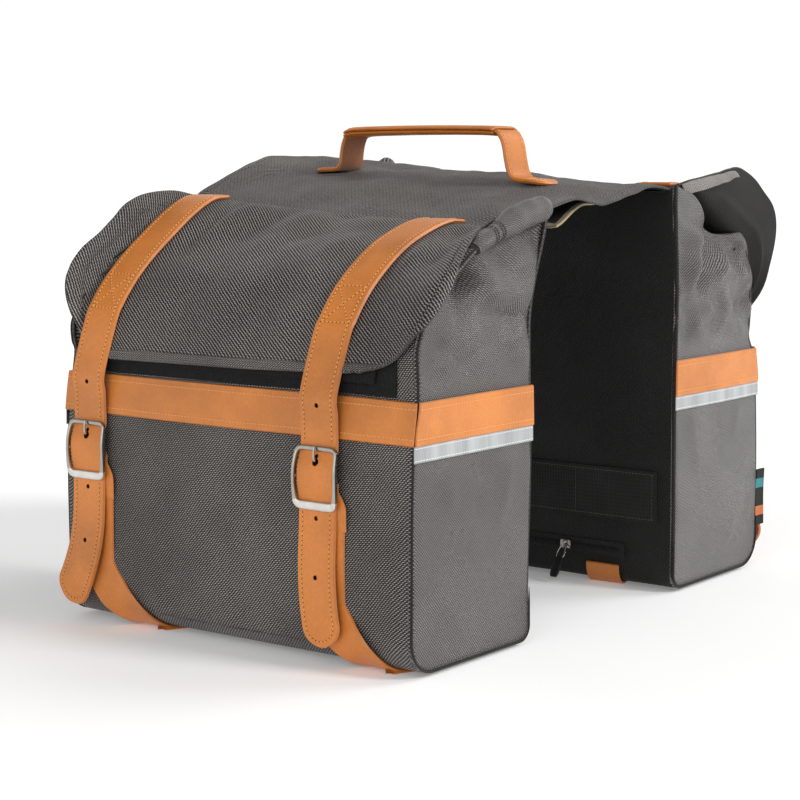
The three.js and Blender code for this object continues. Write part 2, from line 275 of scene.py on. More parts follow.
def slab(name, side, grid, thickness, materials, uv, outward=1, bulge=0.4, sharp=38):
    """A sheet round a grid of middle points, with a rounded edge. Materials are those of its
    outer face, inner face and edge."""
    n, m = grid.shape[:2]
    normal = (grid_normals(grid) * outward).reshape(-1, 3)
    flat = grid.reshape(-1, 3)
    outer, inner = flat + normal * thickness / 2, flat - normal * thickness / 2
    loop = border(n, m)
    along = unit(flat[np.roll(loop, -1)] - flat[np.roll(loop, 1)])
    out = unit(np.cross(along, normal[loop]))
    if ((flat[loop] - flat.mean(0)) * out).sum() < 0:
        out = -out
    rim = flat[loop] + out * thickness * bulge
    total = n * m
    quads = grid_faces(n, m)
    faces = quads.tolist() + (quads + total)[:, ::-1].tolist()
    kinds = [0] * len(quads) + [1] * len(quads) + [2, 2] * len(loop)
    for a, (here, there) in enumerate(zip(loop, np.roll(loop, -1))):
        a, b = 2 * total + a, 2 * total + (a + 1) % len(loop)
        faces += [[here, there, b, a], [a, b, total + there, total + here]]
    uv = np.asarray(uv, float).reshape(-1, 2)
    return make(name, side, np.vstack([outer, inner, rim]), faces, materials, kinds,
                np.vstack([uv, uv, uv[loop]]), sharp)


def tube(line, radius, sides=8, up=(0, 0, 1), flat=1.0, closed=False, power=2.0):
    """Vertices and faces of a rod along a line. Radius may differ from point to point, flat is its
    height to its width, and a power above 2 squares its section."""
    line = np.asarray(line, float)
    n = len(line)
    d = unit(np.roll(line, -1, 0) - np.roll(line, 1, 0) if closed else np.gradient(line, axis=0))
    across = unit(np.cross(d, np.broadcast_to(np.asarray(up, float), line.shape)))
    top = np.cross(across, d)
    radius = np.broadcast_to(np.asarray(radius, float), (n,))
    flat = np.broadcast_to(np.asarray(flat, float), (n,))
    t = np.linspace(0, 2 * math.pi, sides, endpoint=False)
    c, s = np.cos(t), np.sin(t)
    c, s = np.sign(c) * np.abs(c) ** (2 / power), np.sign(s) * np.abs(s) ** (2 / power)
    verts = (line[:, None] + across[:, None] * (radius[:, None, None] * c[None, :, None])
             + top[:, None] * ((radius * flat)[:, None, None] * s[None, :, None])).reshape(-1, 3)
    faces = []
    for i in range(n if closed else n - 1):
        k = (i + 1) % n
        for j in range(sides):
            l = (j + 1) % sides
            faces.append([i * sides + j, i * sides + l, k * sides + l, k * sides + j])
    if not closed:
        faces.append(list(range(sides - 1, -1, -1)))
        faces.append([(n - 1) * sides + j for j in range(sides)])
    return verts, faces


def merged(parts):
    verts, faces, start = [], [], 0
    for v, f in parts:
        verts.append(v)
        faces += [[i + start for i in face] for face in f]
        start += len(v)
    return np.vstack(verts), faces


def stitch_parts(line, normal, pitch=3.3, size=2.3, radius=0.34, lift=0.12, phase=0.5):
    """Short thread loops along a line of points, each end sunk in the surface."""
    run = lengths(line)
    count = max(int(run[-1] / pitch), 1)
    step = run[-1] / count
    parts = []
    shape = np.array([-0.5, -0.42, -0.2, 0.2, 0.42, 0.5])
    girth = np.array([0.35, 0.8, 1.0, 1.0, 0.8, 0.35])
    sink = np.array([-0.9, -0.3, 0.15, 0.15, -0.3, -0.9])
    normal = np.broadcast_to(normal, line.shape)
    for i in range(count):
        s = (i + phase) * step + shape * size
        p = at(line, s)
        n = unit(sample(normal, run, (i + phase) * step))
        parts.append(tube(p + n * (lift + sink[:, None] * radius), girth * radius, 6, up=n))
    return parts


def stitches(name, side, rows, material, body, **how):
    """One piece for several rows of stitches, each row a line of points with its normals."""
    parts = []
    for line, normal in rows:
        parts += stitch_parts(np.asarray(line, float), np.asarray(normal, float), **how)
    verts, faces = merged(parts)
    return place(make(name, side, verts, faces, [material]), material["slot"], body)


def place(obj, slot, body=None, *stands_for):
    """Says what a piece rides on and what CAD nodes it replaces. The slot, what it takes its finish
    from, is not used.
    """
    if body:
        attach(obj, body)
    if stands_for:
        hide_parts(*stands_for)
    return obj


# ---------------------------------------------------------------- materials

def material(name, slot, **sockets):
    m = bpy.data.materials.new(name)
    m.use_nodes = True
    m["slot"] = slot
    shader = m.node_tree.nodes["Principled BSDF"]
    for key, value in sockets.items():
        shader.inputs[key.replace("_", " ")].default_value = value
    return m


class Nodes:
    """Short ways to add and join the nodes of one tree."""

    def __init__(self, tree):
        self.tree = tree

    def add(self, kind, inputs=None, **settings):
        node = self.tree.nodes.new(kind)
        for key, value in settings.items():
            setattr(node, key, value)
        for key, value in (inputs or {}).items():
            self.put(value, node.inputs[key])
        return node

    def put(self, value, socket):
        if isinstance(value, bpy.types.NodeSocket):
            self.tree.links.new(value, socket)
        else:
            socket.default_value = value

    def math(self, kind, a, b=0.0):
        return self.add("ShaderNodeMath", {0: a, 1: b}, operation=kind).outputs[0]

    def ripple(self, value, turns):
        return self.math("SINE", self.math("MULTIPLY", value, turns))

    def spread(self, value, low, high, to_low=0.0, to_high=1.0):
        return self.add("ShaderNodeMapRange", {0: value, 1: low, 2: high, 3: to_low, 4: to_high},
                        interpolation_type="SMOOTHSTEP").outputs[0]

    def noise(self, scale, detail=3.0, source=None, rough=0.5):
        if source is None:
            source = self.add("ShaderNodeTexCoord").outputs["Object"]
        return self.add("ShaderNodeTexNoise", {"Vector": source, "Scale": scale, "Detail": detail,
                                               "Roughness": rough}).outputs["Fac"]

    def mix(self, share, a, b, kind="MIX"):
        node = self.add("ShaderNodeMix", {0: share, 6: a, 7: b}, data_type="RGBA", blend_type=kind)
        return node.outputs[2]

    def shade(self, colour, share):
        """A colour made darker or lighter by a share of about 1."""
        tint = self.add("ShaderNodeCombineColor", {0: share, 1: share, 2: share}).outputs[0]
        return self.mix(1.0, colour, tint, "MULTIPLY")

    def weave_uv(self):
        uv = self.add("ShaderNodeUVMap", uv_map="weave").outputs[0]
        parts = self.add("ShaderNodeSeparateXYZ", {0: uv}).outputs
        return uv, parts[0], parts[1]

    def surface(self, colour, height, depth, rough):
        """Joins colour, bump of a depth in metres, and roughness to the shader."""
        bump = self.add("ShaderNodeBump", {"Height": height, "Distance": depth, "Strength": 1.0})
        shader = self.tree.nodes["Principled BSDF"]
        for name, value in (("Base Color", colour), ("Normal", bump.outputs[0]),
                            ("Roughness", rough)):
            self.put(value, shader.inputs[name])


def grey(v):
    """A warm grey."""
    return (v, v * 0.9, v * 0.83, 1.0)


def shades(colour, low, high):
    """A colour's dark and light ends."""
    return [tuple(min(c * share, 1.0) for c in colour) + (1.0,) for share in (low, high)]


def weave(name, dark, light, rows, floats, slant, rough=0.6, sheen=0.1, bump=0.00028, ridge=0.6,
          shine=0.3):
    """Coarse slanted basket weave: light floats in rows on a dark ground. Rows is their spacing
    across the cloth, floats that along it, slant how far each float steps sideways, and ridge how
    much the rows outweigh the floats."""
    m = material(name, "fabric", Sheen_Weight=sheen, Sheen_Roughness=0.45,
                 Specular_IOR_Level=shine)
    k = Nodes(m.node_tree)
    uv, u, v = k.weave_uv()
    shift = k.spread(k.noise(230.0, 1.0, uv), 0.3, 0.7, -0.45, 0.45)
    turn = 2 * math.pi / MM
    row = k.math("SUBTRACT", k.math("MULTIPLY", u, turn / rows),
                 k.math("MULTIPLY", v, turn * slant / (rows * floats)))
    step = k.math("MULTIPLY", v, turn / floats)
    row, step = (k.math("COSINE", k.math("ADD", value, shift)) for value in (row, step))
    cell = k.math("ADD", k.math("MULTIPLY", row, ridge), k.math("MULTIPLY", step, 1 - ridge))
    patches = k.noise(14.0, 3.0)
    yarn = k.noise(900.0, 2.0, uv)
    share = k.math("MULTIPLY", k.spread(patches, 0.3, 0.7, 0.84, 1.16),
                   k.spread(yarn, 0.25, 0.75, 0.7, 1.3))
    k.surface(k.shade(k.mix(k.spread(cell, -0.04, 0.6), grey(dark), grey(light)), share),
              k.math("ADD", cell, k.math("MULTIPLY", yarn, 0.25)), bump,
              k.spread(patches, 0.25, 0.75, rough + 0.07, rough - 0.07))
    return m


def leather(name, colour, grain=0.00006, rough=0.36):
    m = material(name, "leather", Coat_Weight=0.2, Coat_Roughness=0.26, Specular_IOR_Level=0.5)
    k = Nodes(m.node_tree)
    place = k.add("ShaderNodeTexCoord").outputs["Object"]
    cloud = k.noise(22.0, 4.0, place)
    pores = k.add("ShaderNodeTexVoronoi", {"Vector": place, "Scale": 1500.0},
                  feature="DISTANCE_TO_EDGE").outputs[0]
    crinkle = k.noise(420.0, 3.0, place)
    k.surface(k.shade(k.mix(k.spread(cloud, 0.3, 0.7), *shades(colour, 0.86, 1.12)),
                      k.spread(crinkle, 0.3, 0.7, 0.95, 1.05)),
              k.math("ADD", k.spread(pores, 0.0, 0.12), k.math("MULTIPLY", crinkle, 0.8)), grain,
              k.spread(cloud, 0.25, 0.75, rough + 0.06, rough - 0.06))
    return m


def fuzzy(name, slot, colour, scale, depth, rough=0.95, sheen=0.5, contrast=0.6):
    """Short pile, thread or webbing: noise in colour and height."""
    m = material(name, slot, Sheen_Weight=sheen, Sheen_Roughness=0.6, Specular_IOR_Level=0.2)
    k = Nodes(m.node_tree)
    fine = k.noise(scale, 5.0, rough=0.7)
    k.surface(k.mix(k.spread(fine, 0.3, 0.7), *shades(colour, 1 - contrast, 1 + contrast)),
              fine, depth, k.spread(fine, 0.2, 0.8, rough, rough - 0.15))
    return m


def ribbed(name, colour, pitch, rough, sheen=0.2):
    """Woven tape with ribs across it."""
    m = material(name, "webbing", Sheen_Weight=sheen, Sheen_Roughness=0.5, Specular_IOR_Level=0.3)
    k = Nodes(m.node_tree)
    _, u, v = k.weave_uv()
    turn = math.pi / (pitch * MM)
    cross = k.math("ADD", 1.0, k.math("MULTIPLY", k.ripple(v, turn), 0.35))
    cell = k.math("MULTIPLY", k.ripple(u, 2 * turn), cross)
    dirt = k.noise(45.0, 4.0)
    share = k.math("MULTIPLY", k.spread(cell, -0.9, 0.9), k.spread(dirt, 0.2, 0.8, 0.6, 1.0))
    k.surface(k.mix(share, *shades(colour, 0.55, 1.5)), cell, 0.00015,
              k.spread(dirt, 0.2, 0.8, rough + 0.05, rough - 0.08))
    return m


def metal(name, colour, rough):
    m = material(name, "nickel", Metallic=1.0)
    k = Nodes(m.node_tree)
    place = k.add("ShaderNodeTexCoord").outputs["Object"]
    cloud = k.noise(160.0, 3.0, place)
    k.surface(k.mix(k.spread(cloud, 0.3, 0.7), *shades(colour, 0.9, 1.0)),
              k.noise(2600.0, 2.0, place), 0.00001, k.spread(cloud, 0.2, 0.8, rough + 0.08, rough))
    return m


def reflective_tape(name):
    """Grey tape with a fine net of glass beads."""
    m = material(name, "reflective", Metallic=0.25, Specular_IOR_Level=0.6, Coat_Weight=0.25,
                 Coat_Roughness=0.2)
    k = Nodes(m.node_tree)
    uv, u, v = k.weave_uv()
    turn = math.pi / (1.1 * MM)
    streak = k.noise(70.0, 2.0, k.add("ShaderNodeMapping", {0: uv, 3: (1.0, 0.05, 1.0)}).outputs[0])
    k.surface(k.mix(k.spread(streak, 0.3, 0.7), (0.30, 0.32, 0.32, 1), (0.46, 0.48, 0.48, 1)),
              k.math("MULTIPLY", k.ripple(u, turn), k.ripple(v, turn)), 0.00005,
              k.spread(streak, 0.3, 0.7, 0.42, 0.3))
    return m


M = {
    "fabric": weave("ballistic_weave", 0.002, 0.33, 2.6, 1.35, 1.3, ridge=0.5),
    "end_fabric": weave("end_weave", 0.022, 0.17, 2.2, 1.2, 1.1, 0.29, 0.14, shine=0.62),
    "flap_fabric": weave("flap_weave", 0.003, 0.27, 3.4, 1.6, 2.1, ridge=0.68),
    "hem_fabric": weave("hem_weave", 0.006, 0.28, 2.4, 1.3, -1.6, ridge=0.68),
    "edge_fabric": weave("bound_edge", 0.03, 0.075, 1.4, 1.2, 0.4, 0.6, 0.2),
    "light_hem": weave("light_hem", 0.17, 0.27, 1.6, 1.2, 0.4, 0.55, 0.3),
    "lining": weave("lining", 0.006, 0.018, 1.2, 1.0, 0.3, 0.6, 0.03, bump=0.00008),
    # Near black: painted shade of the narrow gap between the two bags, on the backs that face it.
    "gap_shade_fabric": weave("inner_weave_gap_shade", 0.003, 0.016, 2.4, 1.5, 0.7, 0.65, 0.02),
    "seam": fuzzy("seam_thread", "fabric", (0.014, 0.013, 0.012), 900.0, 0.0003, 0.9, 0.1),
    "leather": leather("tan_leather", (0.6, 0.19, 0.024)),
    "leather_edge": leather("edge_paint", (0.5, 0.15, 0.02), 0.00002),
    "flesh": fuzzy("leather_back", "leather", (0.3, 0.1, 0.025), 700.0, 0.0003, 0.9, 0.3, 0.25),
    # Near black: painted shade inside the punched holes and stitch holes of the straps.
    "hole": fuzzy("painted_hole_shade", "leather", (0.05, 0.018, 0.008), 500.0, 0.0001, 0.8, 0.0, 0.3),
    "thread": fuzzy("tan_thread", "leather", (0.78, 0.36, 0.1), 2400.0, 0.0002, 0.75, 0.2, 0.2),
    "dark_thread": fuzzy("grey_thread", "fabric", (0.05, 0.048, 0.045), 2400.0, 0.0002, 0.8, 0.2),
    "white_thread": fuzzy("white_thread", "reflective", (0.75, 0.76, 0.75), 2400.0, 0.0002, 0.7,
                          0.2, 0.12),
    "hook": fuzzy("hook_pile", "hook_loop", (0.007, 0.007, 0.007), 700.0, 0.0014, 0.98, 0.03),
    "webbing": ribbed("black_webbing", (0.006, 0.0055, 0.005), 1.6, 0.75, 0.05),
    "tan_binding": ribbed("tan_binding", (0.42, 0.33, 0.2), 1.2, 0.8),
    "reflective": reflective_tape("reflective_tape"),
    # The polished nickel is darkened to paint in dark reflections of the room; its lighter copy on
    # the bottom bars paints in a bright reflection.
    "nickel": metal("polished_nickel", (0.42, 0.39, 0.35), 0.08),
    "bright_nickel": metal("nickel_painted_bright", (0.74, 0.71, 0.66), 0.26),
    "rubber": fuzzy("black_tab", "nickel", (0.012, 0.012, 0.013), 300.0, 0.00005, 0.5, 0.0, 0.3),
    "board": fuzzy("covered_board", "board", (0.03, 0.03, 0.031), 600.0, 0.0001, 0.7, 0.1, 0.3),
    "stripe_a": ribbed("tag_stripe_a", (0.6, 0.16, 0.03), 0.9, 0.8),
    "stripe_b": ribbed("tag_stripe_b", (0.02, 0.25, 0.27), 0.9, 0.8),
}
TANNED = [M["leather"], M["flesh"], M["leather_edge"]]
WOVEN = [M["webbing"]] * 3
PILE = [M["hook"]] * 3


def lined(name):
    """Outer face, inner face and edge of a lined cloth."""
    return [M[name], M["lining"], M["edge_fabric"]]


def mark(obj, name, chosen):
    """Gives some of a piece's faces, by their indices, one more material."""
    kinds = np.zeros(len(obj.data.polygons), np.int32)
    obj.data.polygons.foreach_get("material_index", kinds)
    kinds[chosen] = len(obj.data.materials)
    obj.data.materials.append(M[name])
    obj.data.polygons.foreach_set("material_index", kinds)


# ---------------------------------------------------------------- how the cloth lies

# Folds, each from one point to another, with its width and height. The points are (x, z) on the
# front, (u, z) on an end, (x, distance from the hinge) on a flap and (x, y) on the bridge.
FRONT_FOLDS = ((100, 30, 150, 92, 9, 1.2), (30, 96, 70, 40, 11, 0.9), (118, 120, 156, 84, 8, -1.0),
               (-30, 60, 12, 24, 12, 0.8))
END_LOW_FOLDS = ((26, 150, 42, 92, 9, 1.8), (64, 150, 72, 100, 10, -1.6),
                 (108, 150, 96, 112, 10, 1.8), (122, 70, 84, 22, 14, 1.6))
END_FOLDS = {
    1: ((112, 214, 58, 240, 8, 3.0), (120, 250, 62, 262, 10, 4.0), (20, 214, 60, 232, 9, 2.6),
        (126, 232, 86, 222, 7, -2.6), (34, 300, 16, 240, 9, 4.2), (52, 292, 40, 240, 8, -4.0),
        (84, 282, 60, 250, 9, 3.2), (108, 280, 94, 252, 8, -2.6)),
    2: ((122, 206, 60, 236, 7, 2.4), (128, 232, 84, 214, 6, -2.0), (70, 204, 20, 230, 9, 1.8),
        (6, 252, 64, 262, 9, 3.2), (2, 238, 58, 246, 7, -2.6), (50, 290, 10, 262, 12, -2.4),
        (100, 246, 56, 282, 10, -3.4), (30, 212, 4, 244, 6, 1.6)),
}
FLAP_FOLDS = {
    "right": ((-96, 6, -104, 92, 9, -2.4), (-78, 8, -90, 84, 10, 2.0), (-44, 4, -66, 84, 12, -1.7),
              (6, 4, -12, 70, 14, -1.3), (46, 4, 60, 60, 12, -1.0), (-156, 16, -158, 92, 6, -3.6),
              (-148, 30, -168, 70, 6, 2.0), (-156, 84, -158, 150, 6, -3.4),
              (-165, 96, -166, 150, 5, 1.8), (118, 20, 140, 92, 11, -2.2),
              (128, 96, 150, 150, 10, 1.4), (112, 60, 128, 140, 9, 1.4)),
    "left": ((-150, 20, -160, 100, 8, -3.2), (-30, 4, -42, 80, 14, -1.8), (50, 4, 42, 80, 12, -1.5),
             (-96, 6, -110, 90, 10, -2.0), (130, 20, 146, 100, 11, -2.2)),
}
BRIDGE_FOLDS = ((-60, -96, -86, -30, 11, 1.8), (10, -100, -30, -24, 12, 2.0),
                (70, -96, 20, -20, 10, -2.0), (120, -98, 84, -34, 9, 1.8),
                (130, -90, 150, -40, 8, -1.6), (-130, -90, -128, -30, 10, -1.8),
                (60, 96, 30, 20, 12, 1.8), (-40, 96, -64, 20, 12, -1.8))


def held_in(x, z):
    """How firmly the straps hold the front in about the buckles."""
    return 0.9 * np.max([bell(x, b, 34) for b in BUCKLES], axis=0) * bell(z, BUCKLE_Z, 45)


class Shape:
    """The soft form of one bag: where each of its panels really lies."""

    def __init__(self, side):
        self.side = side
        seed = 11 if side == "right" else 47
        self.slow = waves(seed, 170)
        self.middle = waves(seed + 1, 70)
        self.quick = waves(seed + 2, 32)
        self.flap_base = even(curve(FLAP_SECTION), 241)
        self.flap_run = lengths(self.flap_base)
        self.flap_out = -sideways(self.flap_base)
        table = FLAP_RISE[side]
        keys = np.array(sorted(table))
        run = lengths(curve(FLAP_SECTION))
        knots = run[::16][:len(FLAP_SECTION)]
        fine_x = np.linspace(keys[0], keys[-1], 113)
        rows = np.array([table[key] for key in keys], float)
        along = np.stack([smooth_at(knots, row, self.flap_run, 16) for row in rows])
        self.rise_x = fine_x
        self.rise = np.stack([smooth_at(keys, column, fine_x) for column in along.T], 1)
        self.front_table = None

    # Body ----------------------------------------------------------------

    def body(self, p):
        """Moves points of the stiff form to where the soft bag holds them."""
        p = np.asarray(p, float)
        x, u, z = p[..., 0], p[..., 1], p[..., 2]
        middle = np.cos(np.clip(x / 170, -1, 1) * math.pi / 2)
        front = ramp(u, 90, 143)
        du = front * middle * (2.6 * bell(z, 95, 75) + 0.8)
        du = du + front * 0.5 * self.slow(p)
        du = du * (1 - held_in(x, z))
        high = ramp(z, 228, 326)
        end_pull = 0.25 + 0.75 * ramp(x, 60, 165)
        du = du - ramp(u, 45, 0) * high ** 1.1 * 23 * end_pull * ramp(np.abs(x), 0, 60)
        dx = np.sign(x) * ramp(np.abs(x), 120, 165) * (
            1.8 * bell(z, 90, 70) * bell(u, 72, 55) + 0.6 * self.slow(p[..., [1, 2, 0]]))
        return np.stack([x + dx, u + du, z], -1)

    def front_fold(self, x, z):
        """Small folds of the front panel, outwards, kept off what is sewn or buckled on it."""
        p = np.stack([x, z, 0 * x], -1)
        low = ramp(z, 152, 120) * ramp(z, 6, 30)
        soft = 0.55 * self.middle(p) + 0.3 * self.quick(p)
        soft = soft + folds(x, z, FRONT_FOLDS)
        return soft * low * ramp(np.abs(x), 162, 150) * (1 - held_in(x, z))

    def end_bulge(self, end, u, z):
        """How far an end panel stands outwards from its plane."""
        p = np.stack([u, z, 0 * u + 300 * end], -1)
        low = 0.5 * self.middle(p) * ramp(z, 148, 125) * ramp(z, 8, 40)
        low = low + ramp(z, 152, 138) * folds(u, z, END_LOW_FOLDS)
        high = ramp(z, 192, 215)
        if end == 2:
            top = np.interp(u, [-20, 20, 54, 66, 90], [314, 307, 295, 289, 276])
            hollow = -4.5 * ramp(z, top - 34, top - 10) * ramp(u, 96, 70)
            hollow = hollow - 6.5 * bell(u, 80, 16) * bell(z, 271, 17)
            # The flap presses its own corner of the panel flat.
            size = 1.8 * (1 - 0.8 * ramp(u, 96, 126) * ramp(z, 205, 225))
        else:
            hollow = -5.0 * bell(u, 70, 30) * bell(z, 286, 20)
            size = 2.1
        soft = size * (folds(u, z, END_FOLDS[end]) + hollow + 0.5 * self.quick(p))
        edge = ramp(u, -2, 9) * ramp(u, 143, 131)
        return (low + high * soft) * edge + 1.2 * bell(u, 72, 50) * bell(z, 80, 60)

    def front_section(self, x):
        """Middle line (u, z) of the front panel at one x, from the base seam up to the mouth."""
        low = arc((DEPTH - FRONT_CORNER, BASE_Z - 1 + FRONT_CORNER), FRONT_CORNER - 1, -90, 0, 10)
        total = self.flap_run[-1]
        top = 72 + 34 * float(ramp(x, -120, -163))
        s = np.linspace(total - 1, top, 40)
        over = self.flap(s, np.full(40, float(x)), smoothed=True)[:, 1:]
        gap = 4.4 + 2.6 * ramp(s, total - 30, total - 8) + 7 * float(ramp(x, -134, -152))
        under = over - sideways(over) * gap[:, None]
        rising = curve(np.vstack([low[-1:], FRONT_UP, under[::4], under[-1:]]))
        return np.vstack([low[:-1], even(rising, 100)])

    # Flap ----------------------------------------------------------------

    def flap(self, s, x, smoothed=False):
        """Middle surface of the flap at a distance s from the hinge line."""
        s, x = np.broadcast_arrays(np.asarray(s, float), np.asarray(x, float))
        rise = bilinear(self.rise_x, self.flap_run, self.rise, level_under_straps(x), s)
        end = self.flap_run[-1]
        if not smoothed:
            rise = rise + self.flap_folds(s, x)
        base = sample(self.flap_base, self.flap_run, s)
        over = np.maximum(s - end, 0)
        out = sample(self.flap_out, self.flap_run, s)
        down = np.array([0.12, -1.0])
        q = base + out * rise[..., None] + down * over[..., None]
        spread = 7.0 if self.side == "left" else 3.0
        dx = -spread * ramp(x, -140, -168) * bell(s, 130, 70)
        if not smoothed:
            # Past its end 2 the flap turns down over the end panel.
            beyond = np.maximum(x - TURN_X, 0) * ramp(s, 82, 116)
            angle = np.minimum(beyond / TURN_RADIUS, 1.4)
            rest = beyond - angle * TURN_RADIUS
            q = q - out * (TURN_RADIUS * (1 - np.cos(angle)) + rest * math.sin(1.4))[..., None]
            dx = dx + TURN_RADIUS * np.sin(angle) + rest * math.cos(1.4) - beyond
        return np.stack([x + dx, q[..., 0], q[..., 1]], -1)

    def flap_folds(self, s, x):
        p = np.stack([x, s, 0 * s], -1)
        pressed = np.prod([ramp(np.abs(x - b), STRAP_HALF, STRAP_HALF + 12)
                           for b in BUCKLES], axis=0)
        rise = 0.5 * self.middle(p) + 0.18 * self.quick(p)
        rise = rise + folds(x, s, FLAP_FOLDS[self.side])
        return 1.9 * rise * pressed * ramp(s, 194, 165) * ramp(s, 0, 10)


def level_under_straps(x):
    """The place across the flap whose height a point takes: under a strap, the strap's middle."""
    for centre in BUCKLES:
        off = x - centre
        x = centre + off * ramp(np.abs(off), STRAP_HALF - 4, STRAP_HALF + 24)
    return x


def smooth_at(x, y, fine, steps=12):
    """Values at the places fine of a smooth curve through (x, y)."""
    c = curve(np.stack([x, y], -1), steps)
    return np.interp(fine, c[:, 0], c[:, 1])


def bilinear(xs, ys, table, x, y):
    i = np.clip(np.searchsorted(xs, x) - 1, 0, len(xs) - 2)
    j = np.clip(np.searchsorted(ys, y) - 1, 0, len(ys) - 2)
    a = np.clip((x - xs[i]) / (xs[i + 1] - xs[i]), 0, 1)
    b = np.clip((y - ys[j]) / (ys[j + 1] - ys[j]), 0, 1)
    return ((1 - a) * (1 - b) * table[i, j] + a * (1 - b) * table[i + 1, j]
            + (1 - a) * b * table[i, j + 1] + a * b * table[i + 1, j + 1])


# How far the flap stands out from its plain section, by x, at the ten points of FLAP_SECTION.
FLAP_RISE = {
    "right": {
        -176: (4, 20, 30, 26, 22, 22, 26, 27, 20, 9),
        -167: (4, 20, 30, 26, 22, 22, 25, 26, 19, 8),
        -152: (2, 15, 20, 16, 13, 12, 13, 12, 8, 3),
        -135: (-3, 5, 6, 4, 3, 2, 1, 0, 0, 0),
        -112: (-5, 3, 4, 3, 2, 1, 0, 0, 0, 0),
        -60: (-9, -1, 1, 1, 1, 1, 0, 0, 0, 0),
        0: (-14, -6, -3, 0, 1, 1, 1, 0, 0, 0),
        60: (-18, -8, -4, 0, 2, 1, 1, 0, 0, 0),
        88: (-20, -10, -4, 0, 1, 1, 0, 0, 0, 0),
        118: (-22, -11, -4, 1, 2, 1, 0, 0, 0, 0),
        145: (-18, -7, 0, 5, 7, 8, 7, 5, 3, 1),
        160: (-5, 0, 6, 9, 10, 11, 11, 9, 5, 2),
        176: (-1, 3, 9, 10, 10, 11, 12, 10, 6, 3),
    },
    "left": {
        -178: (22, 58, 81, 82, 73, 63, 42, 18, 4, 0),
        -169: (22, 56, 78, 79, 70, 60, 39, 17, 4, 0),
        -157: (14, 31, 42, 44, 40, 34, 22, 10, 3, 0),
        -122: (5, 11, 10, 8, 7, 6, 4, 2, 1, 0),
        -90: (7, 11, 8, 6, 4, 3, 2, 1, 0, 0),
        -40: (12, 13, 8, 5, 3, 2, 1, 0, 0, 0),
        0: (15, 15, 9, 5, 3, 2, 1, 0, 0, 0),
        60: (18, 18, 11, 6, 3, 2, 1, 0, 0, 0),
        120: (21, 22, 13, 7, 4, 2, 0, 0, 0, 0),
        136: (20, 27, 16, 8, 5, 3, 1, 0, 0, 0),
        156: (20, 43, 25, 12, 7, 4, 2, 1, 0, 0),
        176: (18, 34, 22, 13, 8, 4, 2, 1, 0, 0),
    },
}


# ---------------------------------------------------------------- body panels

def back_section(shape, x):
    low = arc((BACK_CORNER, BASE_Z - 1 + BACK_CORNER), BACK_CORNER - 1, 270, 180, 6)
    top = float(shape.flap(0.0, float(x), smoothed=True)[2]) - 2.6
    up = np.stack([np.full(60, 1.0), np.linspace(BASE_Z - 1 + BACK_CORNER, top, 61)[1:]], -1)
    return np.vstack([low, up])


def wrap(shape):
    """Front, base and back in one length of cloth."""
    side = shape.side
    xs = columns(HALF - 0.6, 3.3, (0.0, 0.5, 1.0, 1.7, 2.6, 4.0, 6.0))
    base = np.stack([np.linspace(BACK_CORNER, DEPTH - FRONT_CORNER, 36)[1:-1],
                     np.full(34, BASE_Z)], -1)
    rows = []
    for x in xs:
        section = np.vstack([back_section(shape, x)[::-1], base, shape.front_section(x)])
        rows.append(even(section, 260))
    section = np.array(rows)
    out = np.stack([unit(np.gradient(r, axis=0)) for r in section])
    out = np.stack([out[..., 1], -out[..., 0]], -1)
    x = np.broadcast_to(xs[:, None], section.shape[:2])
    into = np.clip((np.abs(x) - (HALF - 4.6)) / 4.0, 0, 1)
    roll = -2.3 * into ** 2.5
    z = section[..., 1]
    push = shape.front_fold(x, z) * ramp(section[..., 0], 110, 138)
    q = section + out * (roll + push)[..., None]
    grid = shape.body(np.stack([x, q[..., 0], q[..., 1]], -1))
    run = lengths(section[len(xs) // 2])
    uv = pair(x, run)
    obj = slab(f"{side}_wrap", side, grid, FABRIC, lined("fabric"), uv, outward=-1)
    # The back, which faces the other bag, is a plainer cloth made near black: painted shade of the
    # narrow gap between the bags. Its seam lies just under the base.
    mark(obj, "gap_shade_fabric", quads_where(section[..., 0] < BACK_CORNER + 1))
    place(obj, "fabric", f"{side}_bag", f"{side}_front_panel", f"{side}_base_panel",
          f"{side}_back_panel")


def quads_where(points):
    """Indices of a grid's faces whose first corner is one of the points."""
    return np.flatnonzero(points[:-1, :-1].ravel())


def end_outline(shape, end):
    """The seam line round an end panel in (u, z): left, bottom, right and top sides."""
    x = -HALF if end == 1 else HALF
    front = shape.front_section(x)
    back = back_section(shape, x)
    corner = 5
    base = np.stack([np.linspace(BACK_CORNER, DEPTH - FRONT_CORNER, 30), np.full(30, BASE_Z)], -1)
    bottom = np.vstack([back[3::-1], base[1:-1], front[:corner + 1]])
    left = back[3:]
    right = front[corner:]
    if end == 2:
        top = [(18, 311), (38, 303), (54, 294)]
    elif shape.side == "left":
        top = [(14, 324), (28, 320), (45, 303), (66, 291), (84, 287)]
    else:
        top = [(14, 314), (28, 307), (45, 294), (66, 284), (84, 281)]
    return left, bottom, right, curve(np.vstack([left[-1:], top, right[-1:]]))


